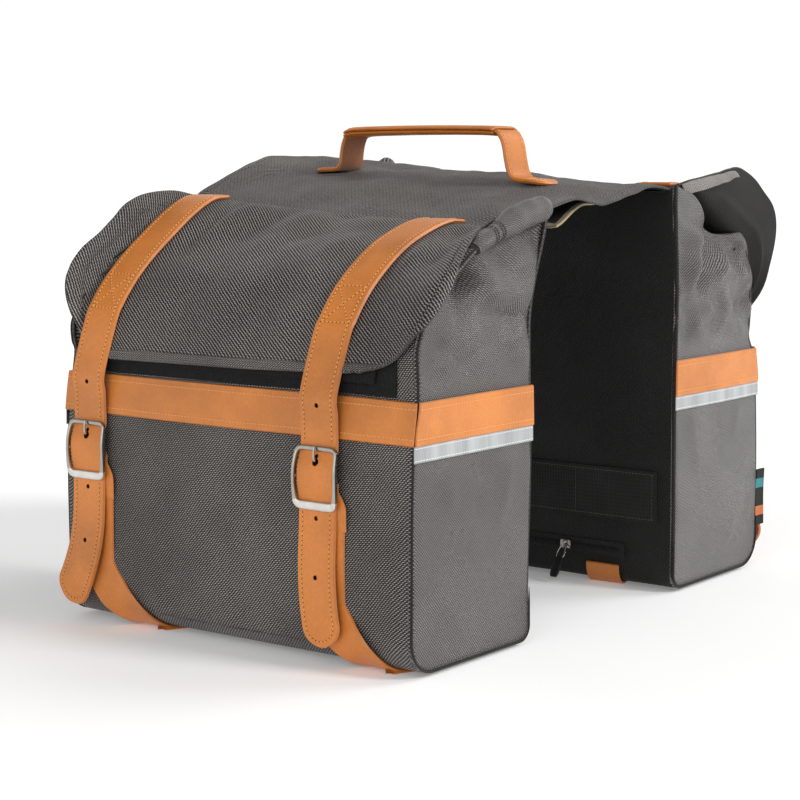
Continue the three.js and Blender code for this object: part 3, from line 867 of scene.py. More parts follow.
def patch(left, bottom, right, top, n, m):
    """A grid that fills four joined sides. Left and right run up, bottom and top run across."""
    a = np.linspace(0, 1, n)
    b = np.linspace(0, 1, m)
    a = 0.5 - 0.5 * np.cos(math.pi * (0.15 + 0.7 * a)) / math.cos(math.pi * 0.15)
    b = 0.5 - 0.5 * np.cos(math.pi * (0.15 + 0.7 * b)) / math.cos(math.pi * 0.15)
    l, r, lo, hi = [at(line, t * lengths(line)[-1]) for line, t in
                    ((left, a), (right, a), (bottom, b), (top, b))]
    a, b = a[:, None, None], b[None, :, None]
    return (l[:, None] * (1 - b) + r[:, None] * b + lo[None] * (1 - a) + hi[None] * a
            - ((1 - a) * (1 - b) * lo[0] + (1 - a) * b * lo[-1] + a * (1 - b) * hi[0]
               + a * b * hi[-1]))


def end_point(shape, end, u, z, stand=0.0, seam=0.0):
    """A point of an end panel's middle surface, moved outwards by stand."""
    sign = -1 if end == 1 else 1
    x = sign * (HALF - 1 + shape.end_bulge(end, u, z) - seam + stand)
    return shape.body(np.stack([x, u, z], -1))


def end_panel(shape, end):
    side = shape.side
    left, bottom, right, top = end_outline(shape, end)
    grid = patch(left, bottom, right, top, 92, 60)
    n, m = grid.shape[:2]
    i, j = np.meshgrid(np.arange(n), np.arange(m), indexing="ij")
    near = np.minimum(i, np.minimum(j, m - 1 - j))
    step = np.array([2.4, 0.9, 0.2, 0.0])
    sink = step[np.minimum(near, 3)]
    u, z = grid[..., 0], grid[..., 1]
    p = end_point(shape, end, u, z, seam=sink)
    uv = np.stack([u, z], -1) + (400 * end, 0)
    obj = slab(f"{side}_end_{end}", side, p, FABRIC, lined("end_fabric"), uv,
               outward=-1 if end == 2 else 1)
    place(obj, "fabric", f"{side}_bag", f"{side}_end_panel_{end}")
    seam(shape, end, np.vstack([left[::-1], bottom[1:], right[1:]]))


def seam(shape, end, line):
    """The sewn edge where an end panel meets the wrapped panel: a dark cord in the groove, and a
    folded lip that stands out along the base."""
    side = shape.side
    line = even(line, 300)
    sign = -1 if end == 1 else 1
    low = line[line[:, 1] < 44]
    lip = 0.55 * ramp(low[:, 1], 44, 30) + 0.2
    for name, path, out, x, girth in (("seam", line, -0.9, HALF - 1.0, 1.1),
                                      ("seam_lip", low, 0.3, HALF + 0.4, lip)):
        p = np.stack([np.full(len(path), sign * x), *(path + sideways(path) * out).T], -1)
        obj = make(f"{side}_{name}_{end}", side, *tube(shape.body(p), girth, 8, up=(1, 0, 0)),
                   [M["seam"]])
        place(obj, "fabric", f"{side}_bag")


def cuff(shape):
    """The rolled hem at the mouth's outer end, above end panel 2, sewn together near its front."""
    side = shape.side
    line = even(curve([(-20, 314.5), (-14, 314.5), (2, 312), (20, 307.5), (36, 302), (48, 298),
                       (58, 294), (66, 289)]), 110)
    t = np.linspace(0, 1, len(line))
    p = np.stack([HALF - 2.6 - 1.5 * ramp(t, 0.7, 1.0), line[:, 0], line[:, 1]], -1)
    girth = 9.6 * ramp(t, -0.2, 0.1) * (1 - 0.3 * ramp(t, 0.45, 0.74))
    girth = girth * (1 - 0.25 * ramp(t, 0.9, 1.0))
    tack = bell(t, 0.70, 0.02) + bell(t, 0.78, 0.02)
    girth = girth * (1 - 0.13 * tack) + 0.25 * np.sin(t * 31) * ramp(t, 0.66, 0.5)
    sides = 28
    uv = pair(np.linspace(0, 58, sides)[None], lengths(line)[:, None]).reshape(-1, 2)
    obj = make(f"{side}_cuff", side, *tube(p, girth, sides, up=(1, 0, 0), flat=0.95),
               [M["end_fabric"]], uv=uv)
    place(obj, "fabric", f"{side}_bag")
    rows = []
    for share in (0.685, 0.71, 0.77, 0.795):
        i = int(share * (len(line) - 1))
        d = unit(line[i + 1] - line[i - 1])
        angle = np.linspace(-0.3, 3.4, 30)[:, None]
        ring = p[i] + girth[i] * (np.cos(angle) * np.array([0, d[1], -d[0]])
                                  + np.sin(angle) * np.array([1, 0, 0]))
        rows.append((ring, unit(ring - p[i])))
    stitches(f"{side}_cuff_stitches", side, rows, M["dark_thread"], f"{side}_bag", pitch=2.2,
             size=1.6, radius=0.35)


# ---------------------------------------------------------------- trim

def surface_front(shape, x, z, stand):
    """Points on the front panel at heights z, stand outside its middle surface."""
    x, z = np.broadcast_arrays(np.asarray(x, float), np.asarray(z, float))
    heights = np.linspace(BASE_Z + FRONT_CORNER - 24, 232, 120)
    if shape.front_table is None:
        places = np.linspace(-HALF, HALF, 45)
        sections = [shape.front_section(place) for place in places]
        shape.front_table = places, np.array([np.interp(heights, line[:, 1], line[:, 0])
                                              for line in sections])
    places, table = shape.front_table
    u = bilinear(places, heights, table, x, z)
    slope = (bilinear(places, heights, table, x, z + 2)
             - bilinear(places, heights, table, x, z - 2)) / 4
    n = unit(np.stack([np.ones_like(slope), -slope], -1))
    return shape.body(np.stack([x, u + n[..., 0] * stand, z + n[..., 1] * stand], -1))


def face_rows(grid, thickness, which, outward):
    """Stitch rows along some of a grid's lines, on its outer face."""
    normal = grid_normals(grid) * outward
    top = grid + normal * thickness / 2
    return [(top[:, j] if axis else top[j], normal[:, j] if axis else normal[j])
            for axis, j in which]


def trims(shape):
    side = shape.side
    body = f"{side}_bag"
    # Front band.
    xs = columns(HALF + 0.3, 5.5, (0, 0.5, 1.2, 2.4, 5.0))
    zs = np.array([0, 0.4, 1.0, 2.2, 4.0, 8, 12, 16, 20, 24, 25.8, 27, 27.6, 28]) + BAND_LOW
    grid = surface_front(shape, xs[:, None], zs[None], 1 + CLEAR + LEATHER / 2)
    obj = slab(f"{side}_band_front", side, grid, LEATHER, TANNED, pair(xs[:, None], zs[None]),
               outward=-1)
    place(obj, "leather", body, f"{side}_front_band")
    rows = face_rows(grid, LEATHER, [(1, 4), (1, 9)], -1)
    # End bands and reflective tapes.
    tape_rows = []
    for end in (1, 2):
        out = 1 if end == 1 else -1
        us = np.concatenate([[1, 1.4, 2.2, 4.0], np.linspace(8, 132, 26), [136, 138, 139.2, 139.8]])
        uv = pair(us[None] * (1 - 0.028 * ramp(zs, 165, 189))[:, None], zs[:, None])
        g = end_point(shape, end, *np.moveaxis(uv, -1, 0), stand=1 + CLEAR + LEATHER / 2)
        obj = slab(f"{side}_band_end_{end}", side, g, LEATHER, TANNED, uv, outward=out)
        place(obj, "leather", body, f"{side}_end_band_{end}")
        rows += face_rows(g, LEATHER, [(0, 4), (0, 9)], out)
        tz = np.array([149.5, 149.9, 150.8, 153, 155, 157, 159.2, 160.1, 160.5])
        uv = pair(us[None] * 1.008, tz[:, None])
        g = end_point(shape, end, *np.moveaxis(uv, -1, 0), stand=1 + CLEAR + TAPE / 2)
        obj = slab(f"{side}_reflector_{end}", side, g, TAPE,
                   [M["reflective"], M["webbing"], M["reflective"]], uv, outward=out)
        place(obj, "reflective", body, f"{side}_reflector_{end}")
        tape_rows += face_rows(g, TAPE, [(0, 2), (0, 6)], out)
    stitches(f"{side}_band_stitches", side, rows, M["thread"], body)
    stitches(f"{side}_tape_stitches", side, tape_rows, M["white_thread"], body, pitch=3.0, size=2.3)
    # Loop tape under the flap's edge.
    xs = columns(147, 4.0, (0, 0.5, 1.5))
    zs = np.concatenate([[192, 192.5], np.linspace(194, 220, 14), [221.5, 222]])
    grid = surface_front(shape, xs[:, None], zs[None], 1 + CLEAR + 0.5)
    pile = 0.22 * waves(5, 3.2, 24)(grid.reshape(-1, 3)).reshape(grid.shape[:2])
    grid = grid + grid_normals(grid) * pile[..., None]
    obj = slab(f"{side}_loop_pile", side, grid, 1.1, PILE, pair(xs[:, None], zs[None]))
    place(obj, "hook_loop", body, f"{side}_loop_tape")
    # A stitched outline low on the front, where the base board's pocket is sewn.
    line = even(curve([(-70, 24), (-70, 16), (68, 16), (72, 17.5), (74, 21), (74, 25)], 10), 90)
    p = surface_front(shape, line[:, 0], line[:, 1], 1.0)
    stitches(f"{side}_base_stitches", side, [(p, (0.0, 0.9, -0.4))], M["dark_thread"], body, **FINE)


# ---------------------------------------------------------------- flap

def flap_half(s, end):
    """Half-width of the flap at a distance s from the hinge, at one end of it."""
    if end == 2:
        points = [(0, 156), (36, 156.5), (50, 157.5), (61, 160), (74, 164), (87, 167), (100, 170),
                  (114, 172), (127, 173), (138, 172.5), (146, 171), (154, 169), (162, 165.5),
                  (171, 160), (177, 154), (182, 147), (186, 138), (189, 126), (190.5, 112)]
    else:
        points = [(0, 160), (30, 164), (60, 168), (100, 170), (125, 170), (145, 166), (158, 161),
                  (168, 155), (176, 149), (182, 142), (186, 134), (189, 125), (190.5, 115)]
    c = curve(points, 8)
    return np.interp(s, c[:, 0], c[:, 1])


def flap(shape):
    side = shape.side
    total = shape.flap_run[-1]
    s = np.concatenate([np.linspace(0, total - 14, 96), total - np.array(
        [12, 10, 8.5, 7.4, 6.5, 5.6, 4.5, 3.4, 2.4, 1.5, 0.8, 0.3, 0])])
    b = columns(1.0, 0.021, (0, 0.003, 0.008, 0.015, 0.023, 0.031, 0.037, 0.042, 0.048, 0.06))
    low, high = flap_half(s, 1)[:, None], flap_half(s, 2)[:, None]
    x = np.where(b < 0, b * low, b * high)
    ss = np.broadcast_to(s[:, None], x.shape)
    # The lower edge hangs a little lower towards the middle.
    ss = ss + ramp(ss, total - 60, total) * (-8.0 - 2.0 * x / 100 + 1.5 * bell(x, 20, 90))
    grid = shape.flap(ss, x)
    edge = np.minimum(np.where(x < 0, low + x, high - x), (total - s)[:, None])
    step = -0.9 * bell(edge, HEM, 0.9) + 0.8 * ramp(edge, HEM, HEM - 1.6)
    second = -0.5 * bell(edge, 2 * HEM, 0.8) * ramp(ss, total - 40, total - 10)
    curl = 1.0 * ramp(edge, 7, 0) * ramp(ss, 60, 100)
    grid = grid + grid_normals(grid) * OUT_FLAP * (step + second + curl)[..., None]
    run = np.linalg.norm(np.diff(grid, axis=1), axis=-1)
    run = np.concatenate([np.zeros((len(s), 1)), np.cumsum(run, axis=1)], 1)
    uv = np.stack([run - run[:, run.shape[1] // 2][:, None], ss], -1)
    obj = slab(f"{side}_flap_cloth", side, grid, FABRIC, lined("flap_fabric"), uv,
               outward=OUT_FLAP)
    # The weave of the folded hem leans the other way.
    mark(obj, "hem_fabric",
         quads_where(np.broadcast_to((total - s)[:, None] < HEM - 0.4, edge.shape)))
    place(obj, "fabric", None, f"{side}_flap")
    bend_at_hinge(obj)
    # Hem stitches, up both ends and along the lower edge.
    normal = grid_normals(grid) * OUT_FLAP
    top = grid + normal * FABRIC / 2
    cols = [int(np.argmin(np.abs(b + 1 - 0.037))), int(np.argmin(np.abs(b - 1 + 0.037)))]
    up = slice(int(np.searchsorted(s, 30)), len(s) - 12)
    inside = slice(cols[0], cols[1] + 1)
    rows = [(top[up, c], normal[up, c]) for c in cols]
    rows.append((top[len(s) - 9, inside], normal[len(s) - 9, inside]))
    stitches(f"{side}_flap_stitches", side, rows, M["dark_thread"], f"{side}_flap", **FINE)
    # Hook tape on the underside.
    zs = np.linspace(total - 25, total - 3.5, 14)
    xs = columns(130, 4.0, (0, 0.5, 1.5))
    g = shape.flap(zs[:, None], xs[None])
    n = grid_normals(g) * OUT_FLAP
    g = g - n * (FABRIC / 2 + CLEAR + 0.45)
    g = g + n * (0.12 * waves(9, 2.5, 20)(g.reshape(-1, 3)).reshape(g.shape[:2]))[..., None]
    obj = slab(f"{side}_hook_pile", side, g, 0.9, PILE, pair(zs[:, None], xs[None]),
               outward=OUT_FLAP)
    place(obj, "hook_loop", f"{side}_flap", f"{side}_hook_tape")


def hem_band(shape):
    """The pale turned-down hem at the flap's end 1, from the hinge to the top of its curve."""
    side = shape.side
    s = np.linspace(2, 58, 40)
    x = -flap_half(s, 1) + 0.4
    top = shape.flap(s, x)
    strip = shape.flap(s[:, None], x[:, None] + np.array([[0, 1.0, 2.0]]))
    normal = grid_normals(strip)[:, 0] * OUT_FLAP
    drop = np.array([0, 0.6, 2.0, 4.0, 6.0, 8.0, 8.6, 9.0])
    girth = ramp(s, -2, 8) * 0.2 + 0.8
    lean = unit(normal * np.array([0.2, 1, 1]))
    grid = (top[:, None] + (0.4 - drop[None, :, None] * girth[:, None, None]) * lean[:, None]
            + np.array([-1.7, 0, 0]) - np.array([0.7, 0, 0]) * bell(drop, 4, 3)[None, :, None])
    obj = slab(f"{side}_flap_hem_band", side, grid, 0.9, [M["light_hem"]] * 3,
               pair(s[:, None], drop[None]))
    place(obj, "fabric")
    bend_at_hinge(obj)


def bend_at_hinge(obj):
    """Bakes a piece's transform into its mesh."""
    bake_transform(obj)


def buckle_push(shape, xc):
    """How far the soft front holds a buckle outwards."""
    return shape.body(np.array([[xc, DEPTH, BUCKLE_Z]]))[0][1] - DEPTH


def flap_straps(shape):
    side = shape.side
    total = shape.flap_run[-1]
    for n, (xc, tail) in enumerate(zip(BUCKLES, TAIL_DRIFT), 1):
        s = np.linspace(3, total - 14, 60)
        across = np.linspace(-STRAP_HALF, STRAP_HALF, 7)
        surface = shape.flap(s[:, None], xc + across[None])
        normal = (grid_normals(surface) * OUT_FLAP)[:, 3]
        mid = surface[:, 3]
        height = ((surface - mid[:, None]) * normal[:, None]).sum(-1)
        tilt = np.array([np.polyfit(across, h, 1)[0] for h in height])
        rise = (height - tilt[:, None] * across[None]).max(1)
        rise = np.array([rise[max(i - 4, 0):i + 5].max() for i in range(len(rise))])
        rise = np.convolve(np.pad(rise, 4, mode="edge"), np.ones(9) / 9, "valid") + 0.2
        tilt = np.convolve(np.pad(tilt, 4, mode="edge"), np.ones(9) / 9, "valid")
        centre = mid + normal * (FABRIC / 2 + CLEAR + STRAP / 2 + rise)[:, None]
        push = buckle_push(shape, xc)
        low = [(146.1, 192), (145.6, 178), (145.3, 166), (145.3, 154), (147.6, 146), (149.3, 141),
               (149.9, 134), (149.3, 127), (147.9, 119), (147.6, 107), (148.1, 94), (148.9, 82),
               (149.6, 70), (150.2, 58), (150.6, 46), (150.6, 34), (150.4, 24), (150.0, 17)]
        low3 = np.array([(xc, u + push, z) for u, z in low])
        line = even(curve(np.vstack([centre[::4][:-1], low3]), 10), 240)
        drift = tail * (np.clip(85 - line[:, 2], 0, 90) / 70) ** 2
        tilts = np.interp(line[:, 2], surface[::-1, 3, 2], tilt[::-1]) * ramp(line[:, 2], 200, 222)
        line[:, 0] = xc + drift
        run = lengths(line)
        b = columns(1.0, 0.18, (0, 0.02, 0.06, 0.13, 0.24))
        # The strap's own direction in the plane of its face, so that the drifting tail stays even.
        d = unit(np.gradient(line, axis=0))
        side_dir = unit(np.array([1.0, 0, 0]) - d * d[:, :1])
        up = unit(np.cross(side_dir, d))
        side_dir = unit(side_dir + up * tilts[:, None])
        # More rows near the tip, for its round end.
        index = np.arange(len(line))
        rows = np.concatenate([np.arange(0, 226, 1.0), np.linspace(226, 239, 36)])
        fine, side_dir, up = (sample(f, index, rows) for f in (line, side_dir, up))
        side_dir, up = unit(side_dir), unit(up)
        fine_run = np.interp(rows, index, run)
        into = np.clip(STRAP_TIP - (run[-1] - fine_run), 0, None)
        round_end = np.sqrt(np.clip(STRAP_TIP ** 2 - into ** 2, 0.6, None)) / STRAP_TIP
        width = STRAP_HALF * round_end[:, None] * b[None]
        crown = 0.25 * (1 - b ** 2)
        grid = fine[:, None] + side_dir[:, None] * width[..., None]
        grid = grid + up[:, None] * crown[None, :, None]
        obj = slab(f"{side}_strap_{n}", side, grid, STRAP, TANNED, pair(fine_run[:, None], width),
                   outward=-1)
        punch(obj, side, line)
        place(obj, "leather", None, f"{side}_flap_strap_{n}")
        bend_at_hinge(obj)
        strap_stitches(side, n, fine, side_dir, up, fine_run)


def nearest(line, z):
    """Index of a line's point nearest a height."""
    return int(np.argmin(np.abs(line[:, 2] - z)))


def punch(obj, side, line):
    """Cuts the row of holes and the prong's slot through a strap."""
    # The cut walls take the near-black hole finish: painted shade inside the holes.
    obj.data.materials.append(M["hole"])
    # Height along the strap, distance above that point, radius and half-length of each cutter.
    for z, above, radius, deep in ((184, 0, 1.7, 6), (105, 0, 1.7, 6), (65, 0, 1.7, 6),
                                   (145.5, 2.5, 1.5, 7), (145.5, -1.5, 2.6, 7)):
        c = line[nearest(line, z)] + (0, 0, above)
        verts, faces = tube(np.array([c - (0, deep, 0), c + (0, deep, 0)]), radius, 20)
        cutter = make("cutter", side, verts, faces, [*TANNED, M["hole"]],
                      np.full(len(faces), len(TANNED)))
        cut = obj.modifiers.new("cut", "BOOLEAN")
        cut.operation = "DIFFERENCE"
        cut.solver = "EXACT"
        cut.object = cutter
        graph = bpy.context.evaluated_depsgraph_get()
        result = bpy.data.meshes.new_from_object(obj.evaluated_get(graph))
        obj.modifiers.clear()
        obj.data = result
        bpy.data.objects.remove(cutter)
    obj.data.polygons.foreach_set("use_smooth", np.ones(len(obj.data.polygons), bool))
    obj.data.set_sharp_from_angle(angle=math.radians(38))


def strap_stitches(side, n, line, across, up, run):
    """Rows along both edges, round the tip, and a crossed box where the strap is sewn down."""
    inset = 3.4
    edge = STRAP_HALF - inset

    def on(s, b):
        crown = 0.25 * (1 - (b / STRAP_HALF) ** 2)
        p = sample(line, run, s) + unit(sample(across, run, s)) * b[:, None]
        normal = unit(sample(up, run, s))
        return p + normal * (STRAP / 2 + crown)[:, None], normal

    def straight(start, end, b):
        s = np.arange(start, end, 2.0)
        return s, np.full(len(s), b)

    # The strap goes in under the frame at one height and comes out at another.
    above, below = run[nearest(line, 158)], run[nearest(line, 109)]
    tip = run[-1] - STRAP_TIP
    angle = np.linspace(0, math.pi, 30)
    down_s, down_b = straight(below, tip, edge)
    tail_s = np.concatenate([down_s, tip + (STRAP_TIP - inset) * np.sin(angle), down_s[::-1]])
    tail_b = np.concatenate([down_b, edge * np.cos(angle), -down_b])
    rows = [on(*straight(4, above, sign * edge)) for sign in (-1, 1)] + [on(tail_s, tail_b)]
    # Crossed box above the flap's lower edge.
    top, low = run[nearest(line, 262)], run[nearest(line, 238)]
    t = np.linspace(0, 1, 16)
    for s0, s1, sign in ((top, top, -1), (low, low, -1), (top, low, -1), (top, low, 1)):
        rows.append(on(s0 + (s1 - s0) * t, sign * edge - 2 * sign * edge * t))
    # Each stitch hole gets a dark plug: painted shade inside the hole.
    parts, holes = [], []
    for p, normal in rows:
        parts += stitch_parts(p, normal, **COARSE)
        holes += hole_parts(p, normal, COARSE["pitch"])
    for label, group, name in (("thread", parts, "thread"), ("shaded_holes", holes, "hole")):
        obj = make(f"{side}_strap_{label}_{n}", side, *merged(group), [M[name]])
        place(obj, "leather")
        bend_at_hinge(obj)


def hole_parts(line, normal, pitch):
    """Small dark plugs between the stitches: painted shade inside the holes that the thread goes
    through.
    """
    run = lengths(line)
    count = max(int(run[-1] / pitch), 1)
    step = run[-1] / count
    parts = []
    for i in range(count + 1):
        c = at(line, i * step)
        n = unit(sample(normal, run, i * step))
        parts.append(tube(np.array([c - n * 0.5, c + n * 0.04, c + n * 0.07]),
                          np.array([0.5, 0.5, 0.3]), 7, up=(1, 0.3, 0.2)))
    return parts


def base_straps(shape):
    """Leather straps sewn under the base, up the front to a loop round the buckle's centre bar."""
    side = shape.side
    for n, (xc, (front, inner)) in enumerate(zip(BUCKLES, BASE_CROSSING), 1):
        gap = CLEAR + 1.1
        line = np.vstack([
            [(-gap, 17)],
            arc((BACK_CORNER, BASE_Z - 1 + BACK_CORNER), BACK_CORNER + gap, 180, 270, 8),
            [(50, 1.15), (85, 1.15)],
            arc((DEPTH - FRONT_CORNER, BASE_Z - 1 + FRONT_CORNER), FRONT_CORNER + gap, -90, 0, 10),
            [(DEPTH + gap, z) for z in (40, 52, 64, 76, 88, 100, 112)],
            [(DEPTH + gap - 0.1, 122), (DEPTH + gap - 0.6, 130)],
        ])
        line = even(curve(line, 8), 190)
        u, z = line[:, 0], line[:, 1]
        under = (u < DEPTH - FRONT_CORNER) & (z < 20)
        path = np.where(
            under, inner + (front - inner) * np.clip(u, 0, None) / (DEPTH - FRONT_CORNER),
            front + (xc + 6.5 - front) * ramp(z, -14, 50) - 6.5 * ramp(z, 98, 122))
        p = shape.body(np.stack([path, u, z], -1))
        p[:, 2] = np.where(under, z, p[:, 2])
        d = unit(np.gradient(p, axis=0))
        across = unit(np.array([1.0, 0, 0]) - d * d[:, :1])
        b = columns(1.0, 0.2, (0, 0.02, 0.06, 0.14))
        grid = p[:, None] + across[:, None] * (15.0 * b)[None, :, None]
        obj = slab(f"{side}_base_leather_{n}", side, grid, BASE_STRAP, TANNED,
                   pair(lengths(line)[:, None], 15 * b))
        place(obj, "leather", f"{side}_bag", f"{side}_base_strap_{n}")
        loop_strap(shape, n, xc)


def loop_strap(shape, n, xc):
    """The base strap's folded end: out over the centre bar and back down beside the tail."""
    side = shape.side
    line = even(curve([(144.0, 96), (144.2, 108), (144.2, 120), (143.8, 130), (144.0, 134.5),
                       (145.8, 136.6), (147.6, 134.8), (147.6, 131), (146.7, 122), (146.4, 112),
                       (146.3, 104), (146.1, 98)], 8), 80)
    z = line[:, 1]
    drift = np.where(np.arange(80) > 44, 9.5 * ramp(z, 134, 112), 3.0 * ramp(z, 128, 100))
    p = np.stack([xc + drift, line[:, 0] + buckle_push(shape, xc), z], -1)
    b = columns(1.0, 0.25, (0, 0.03, 0.1))
    grid = p[:, None] + np.array([1.0, 0, 0]) * (14.2 * b)[None, :, None]
    obj = slab(f"{side}_buckle_loop_{n}", side, grid, 1.0, TANNED,
               pair(lengths(line)[:, None], 14 * b), outward=-1)
    place(obj, "leather", f"{side}_bag")


# ---------------------------------------------------------------- metal

# Half of a buckle frame's centre line, from the middle of the top bar to that of the bottom: x, u,
# z from the buckle's centre, radius, and height to width of the section.
FRAME_HALF = (
    (0, 148.6, 19.9, 1.75, 0.8), (9, 148.6, 19.9, 1.75, 0.8), (14.6, 148.7, 19.5, 1.7, 0.8),
    (17.1, 149.2, 17.4, 1.45, 1.1), (17.8, 150.2, 12.5, 1.25, 1.5), (18.2, 151.3, 6, 1.2, 1.7),
    (18.4, 151.6, -1, 1.2, 1.7), (18.2, 151.5, -8, 1.3, 1.5), (17.7, 151.3, -14, 1.7, 1.1),
    (16.6, 150.9, -18.0, 2.5, 0.7), (14.0, 150.6, -19.6, 3.1, 0.45), (8, 150.5, -19.8, 3.2, 0.42),
    (0, 150.5, -19.8, 3.2, 0.42))
BAR_HALF = ((18.0, 151.0, 0), (17.6, 148.8, 0), (16.4, 146.6, 0), (14.5, 145.8, 0))
BAR_U = 145.8
PRONG_RING = 2.25
PRONG_ARM = ((147.0, 4.6), (146.6, 8.2), (148.4, 10.6), (151.2, 12.2), (151.9, 15.5),
             (151.4, 21.5))


def buckles(shape):
    side = shape.side
    for n, xc in enumerate(BUCKLES, 1):
        centre = np.array([xc, buckle_push(shape, xc), BUCKLE_Z])
        right = curve(FRAME_HALF, 8)
        ring = np.vstack([right, right[::-1][1:-1] * (-1, 1, 1, 1, 1)])
        bar = np.array(BAR_HALF)
        bar = curve(np.vstack([bar * (-1, 1, 1), [(0, BAR_U, 0)], bar[::-1]]), 6)
        v, f = merged([
            tube(ring[:, :3] + centre, ring[:, 3], 20, up=(0, 1, 0), flat=ring[:, 4], closed=True,
                 power=2.8),
            tube(bar + centre, 1.5, 14, up=(0, 0, 1))])
        # The bottom bar takes a lighter, rougher copy of the nickel; its lighter colour is a
        # painted bright reflection.
        low = [v[face].mean(0)[2] < BUCKLE_Z - 16.2 and len(face) == 4 for face in f]
        obj = make(f"{side}_buckle_{n}", side, v, f, [M["nickel"], M["bright_nickel"]], low, sharp=50)
        place(obj, "nickel", f"{side}_buckle_{n}", f"{side}_buckle_frame_{n}")
        angle = np.radians(np.linspace(-260, 50, 30))
        loop = np.stack([BAR_U + PRONG_RING * np.cos(angle), PRONG_RING * np.sin(angle)], -1)
        path = curve(np.vstack([loop, PRONG_ARM]), 6)
        line = np.stack([0 * path[:, 0], *path.T], -1) + centre
        t = np.linspace(0, 1, len(path))
        girth = (0.7 + 0.45 * ramp(t, 0.78, 0.88)) * (1 - 0.25 * ramp(t, 0.92, 1.0))
        obj = make(f"{side}_prong_{n}", side, *tube(line, girth, 14, up=(1, 0, 0)), [M["nickel"]],
                   sharp=50)
        place(obj, "nickel", f"{side}_pin_{n}", f"{side}_buckle_pin_{n}")


def box_part(low, high, bevel=0.3):
    """A box with bevelled edges, as vertices and faces."""
    bm = bmesh.new()
    bmesh.ops.create_cube(bm, size=1.0)
    low, high = np.array(low, float), np.array(high, float)
    for v in bm.verts:
        v.co = Vector((np.array(v.co) + 0.5) * (high - low) + low)
    bmesh.ops.bevel(bm, geom=list(bm.edges), offset=bevel, segments=2, affect="EDGES")
    bm.verts.ensure_lookup_table()
    verts = np.array([v.co[:] for v in bm.verts])
    faces = [[v.index for v in face.verts] for face in bm.faces]
    bm.free()
    return verts, faces


ZIP_Z = 30.0
PULL_X = -65.0
BAR_TACKS = (-146, -73, 0, 73, 146)


def inner_face(shape):
    """Zip pocket and webbing band on the face against the rack."""
    side = shape.side
    body = f"{side}_bag"
    zs = np.linspace(ZIP_Z - 6, ZIP_Z + 6, 13)
    xs = columns(120, 3.0, (0, 0.5, 1.5))
    bow = 0.12 * np.sin(zs * 2)
    grid = np.stack(np.broadcast_arrays(xs[:, None], -0.85 + bow[None], zs[None]), -1)
    obj = slab(f"{side}_zip_cloth", side, shape.body(grid), 0.8, WOVEN, grid[..., [0, 2]])
    place(obj, "webbing", body, f"{side}_zip_tape")
    parts = []
    for i, x in enumerate(np.arange(-114, 114.1, 1.3)):
        z = ZIP_Z + (0.55 if i % 2 else -0.55)
        parts.append(tube([(x, -1.7, z - 1.5), (x, -1.9, z), (x, -1.7, z + 1.5)],
                          (0.45, 0.62, 0.45), 6, up=(0, 1, 0)))
    obj = make(f"{side}_zip_teeth", side, *merged(parts), [M["rubber"]])
    place(obj, "webbing", body)
    # Band, with bar tacks that divide it into loops.
    zs = np.concatenate([[56, 56.4, 57.4], np.linspace(60, 94, 14), [96.6, 97.6, 98]])
    xs = columns(150, 3.0, (0, 0.5, 1.5))
    loose = 0.25 * (1 - np.clip(sum(bell(xs, x, 1.6) for x in BAR_TACKS), 0, 1))
    grid = np.stack(np.broadcast_arrays(xs[:, None], -(0.8 + loose)[:, None], zs[None]), -1)
    obj = slab(f"{side}_inner_webbing", side, shape.body(grid), 1.0, WOVEN, grid[..., [0, 2]])
    place(obj, "webbing", body, f"{side}_inner_band")
    rows = [[(x, -1.35, z) for z in np.linspace(58, 96, 30)] for x in BAR_TACKS]
    rows += [[(x, -1.5, z) for x in np.linspace(-148, 148, 120)] for z in (58.5, 95.5)]
    rows = [(shape.body(row), (0.0, -1.0, 0.0)) for row in rows]
    stitches(f"{side}_webbing_stitches", side, rows, M["dark_thread"], body, **FINE)
    # Slider.
    push = shape.body(np.array([[PULL_X, -1.0, ZIP_Z]]))[0][1] + 1.0
    bail = [(0, -3.8, -3.0), (0, -6.2, -2.9), (0, -7.6, -1.2), (0, -7.6, 1.2), (0, -6.2, 2.9),
            (0, -3.8, 3.0)]
    v, f = merged([box_part((-5, -4.3, -3.4), (5, -2.9, 3.4), 0.6),
                   box_part((-4.4, -2.7, -3.0), (4.4, -1.75, 3.0), 0.4),
                   box_part((-4.4, -3.3, -0.5), (-2.4, -2.2, 0.5), 0.2),
                   tube(curve(bail), 0.6, 10, up=(1, 0, 0))])
    obj = make(f"{side}_slider", side, v + (PULL_X, push, ZIP_Z), f, [M["nickel"]], sharp=50)
    place(obj, "nickel", f"{side}_zip_slider", f"{side}_zip_slider")
    # Pull: a teardrop wire loop and a moulded tab, hanging out at an angle.
    lean = math.radians(34)
    pivot = np.array([PULL_X, -5.6 + push, ZIP_Z])
    down = np.array([0, -math.sin(lean), -math.cos(lean)])
    off = np.array([0, -math.cos(lean), math.sin(lean)])
    drop = [(2.0, -1.6), (3.3, -6), (3.6, -9.5), (2.2, -12.4)]
    drop = curve([(0, 0), *drop, (0, -13.2), *[(-x, z) for x, z in drop[::-1]], (0, 0)], 6)[:-1]
    loop = pivot + drop[:, :1] * (1.0, 0, 0) - drop[:, 1:] * down
    obj = make(f"{side}_pull_loop", side, *tube(loop, 0.62, 10, up=off, closed=True), [M["nickel"]],
               sharp=50)
    place(obj, "nickel", f"{side}_zip_pull", f"{side}_zip_pull")
    wide = np.array([2.6, 3.5, 3.9, 4.0, 4.0, 4.0, 4.0, 4.0, 4.0, 3.9, 3.6, 2.9])
    line = pivot + np.linspace(11.6, 30, len(wide))[:, None] * down
    obj = make(f"{side}_pull_tab", side, *tube(line, wide, 20, up=off, flat=0.36, power=3.4),
               [M["rubber"]], sharp=50)
    place(obj, "nickel", f"{side}_zip_pull")


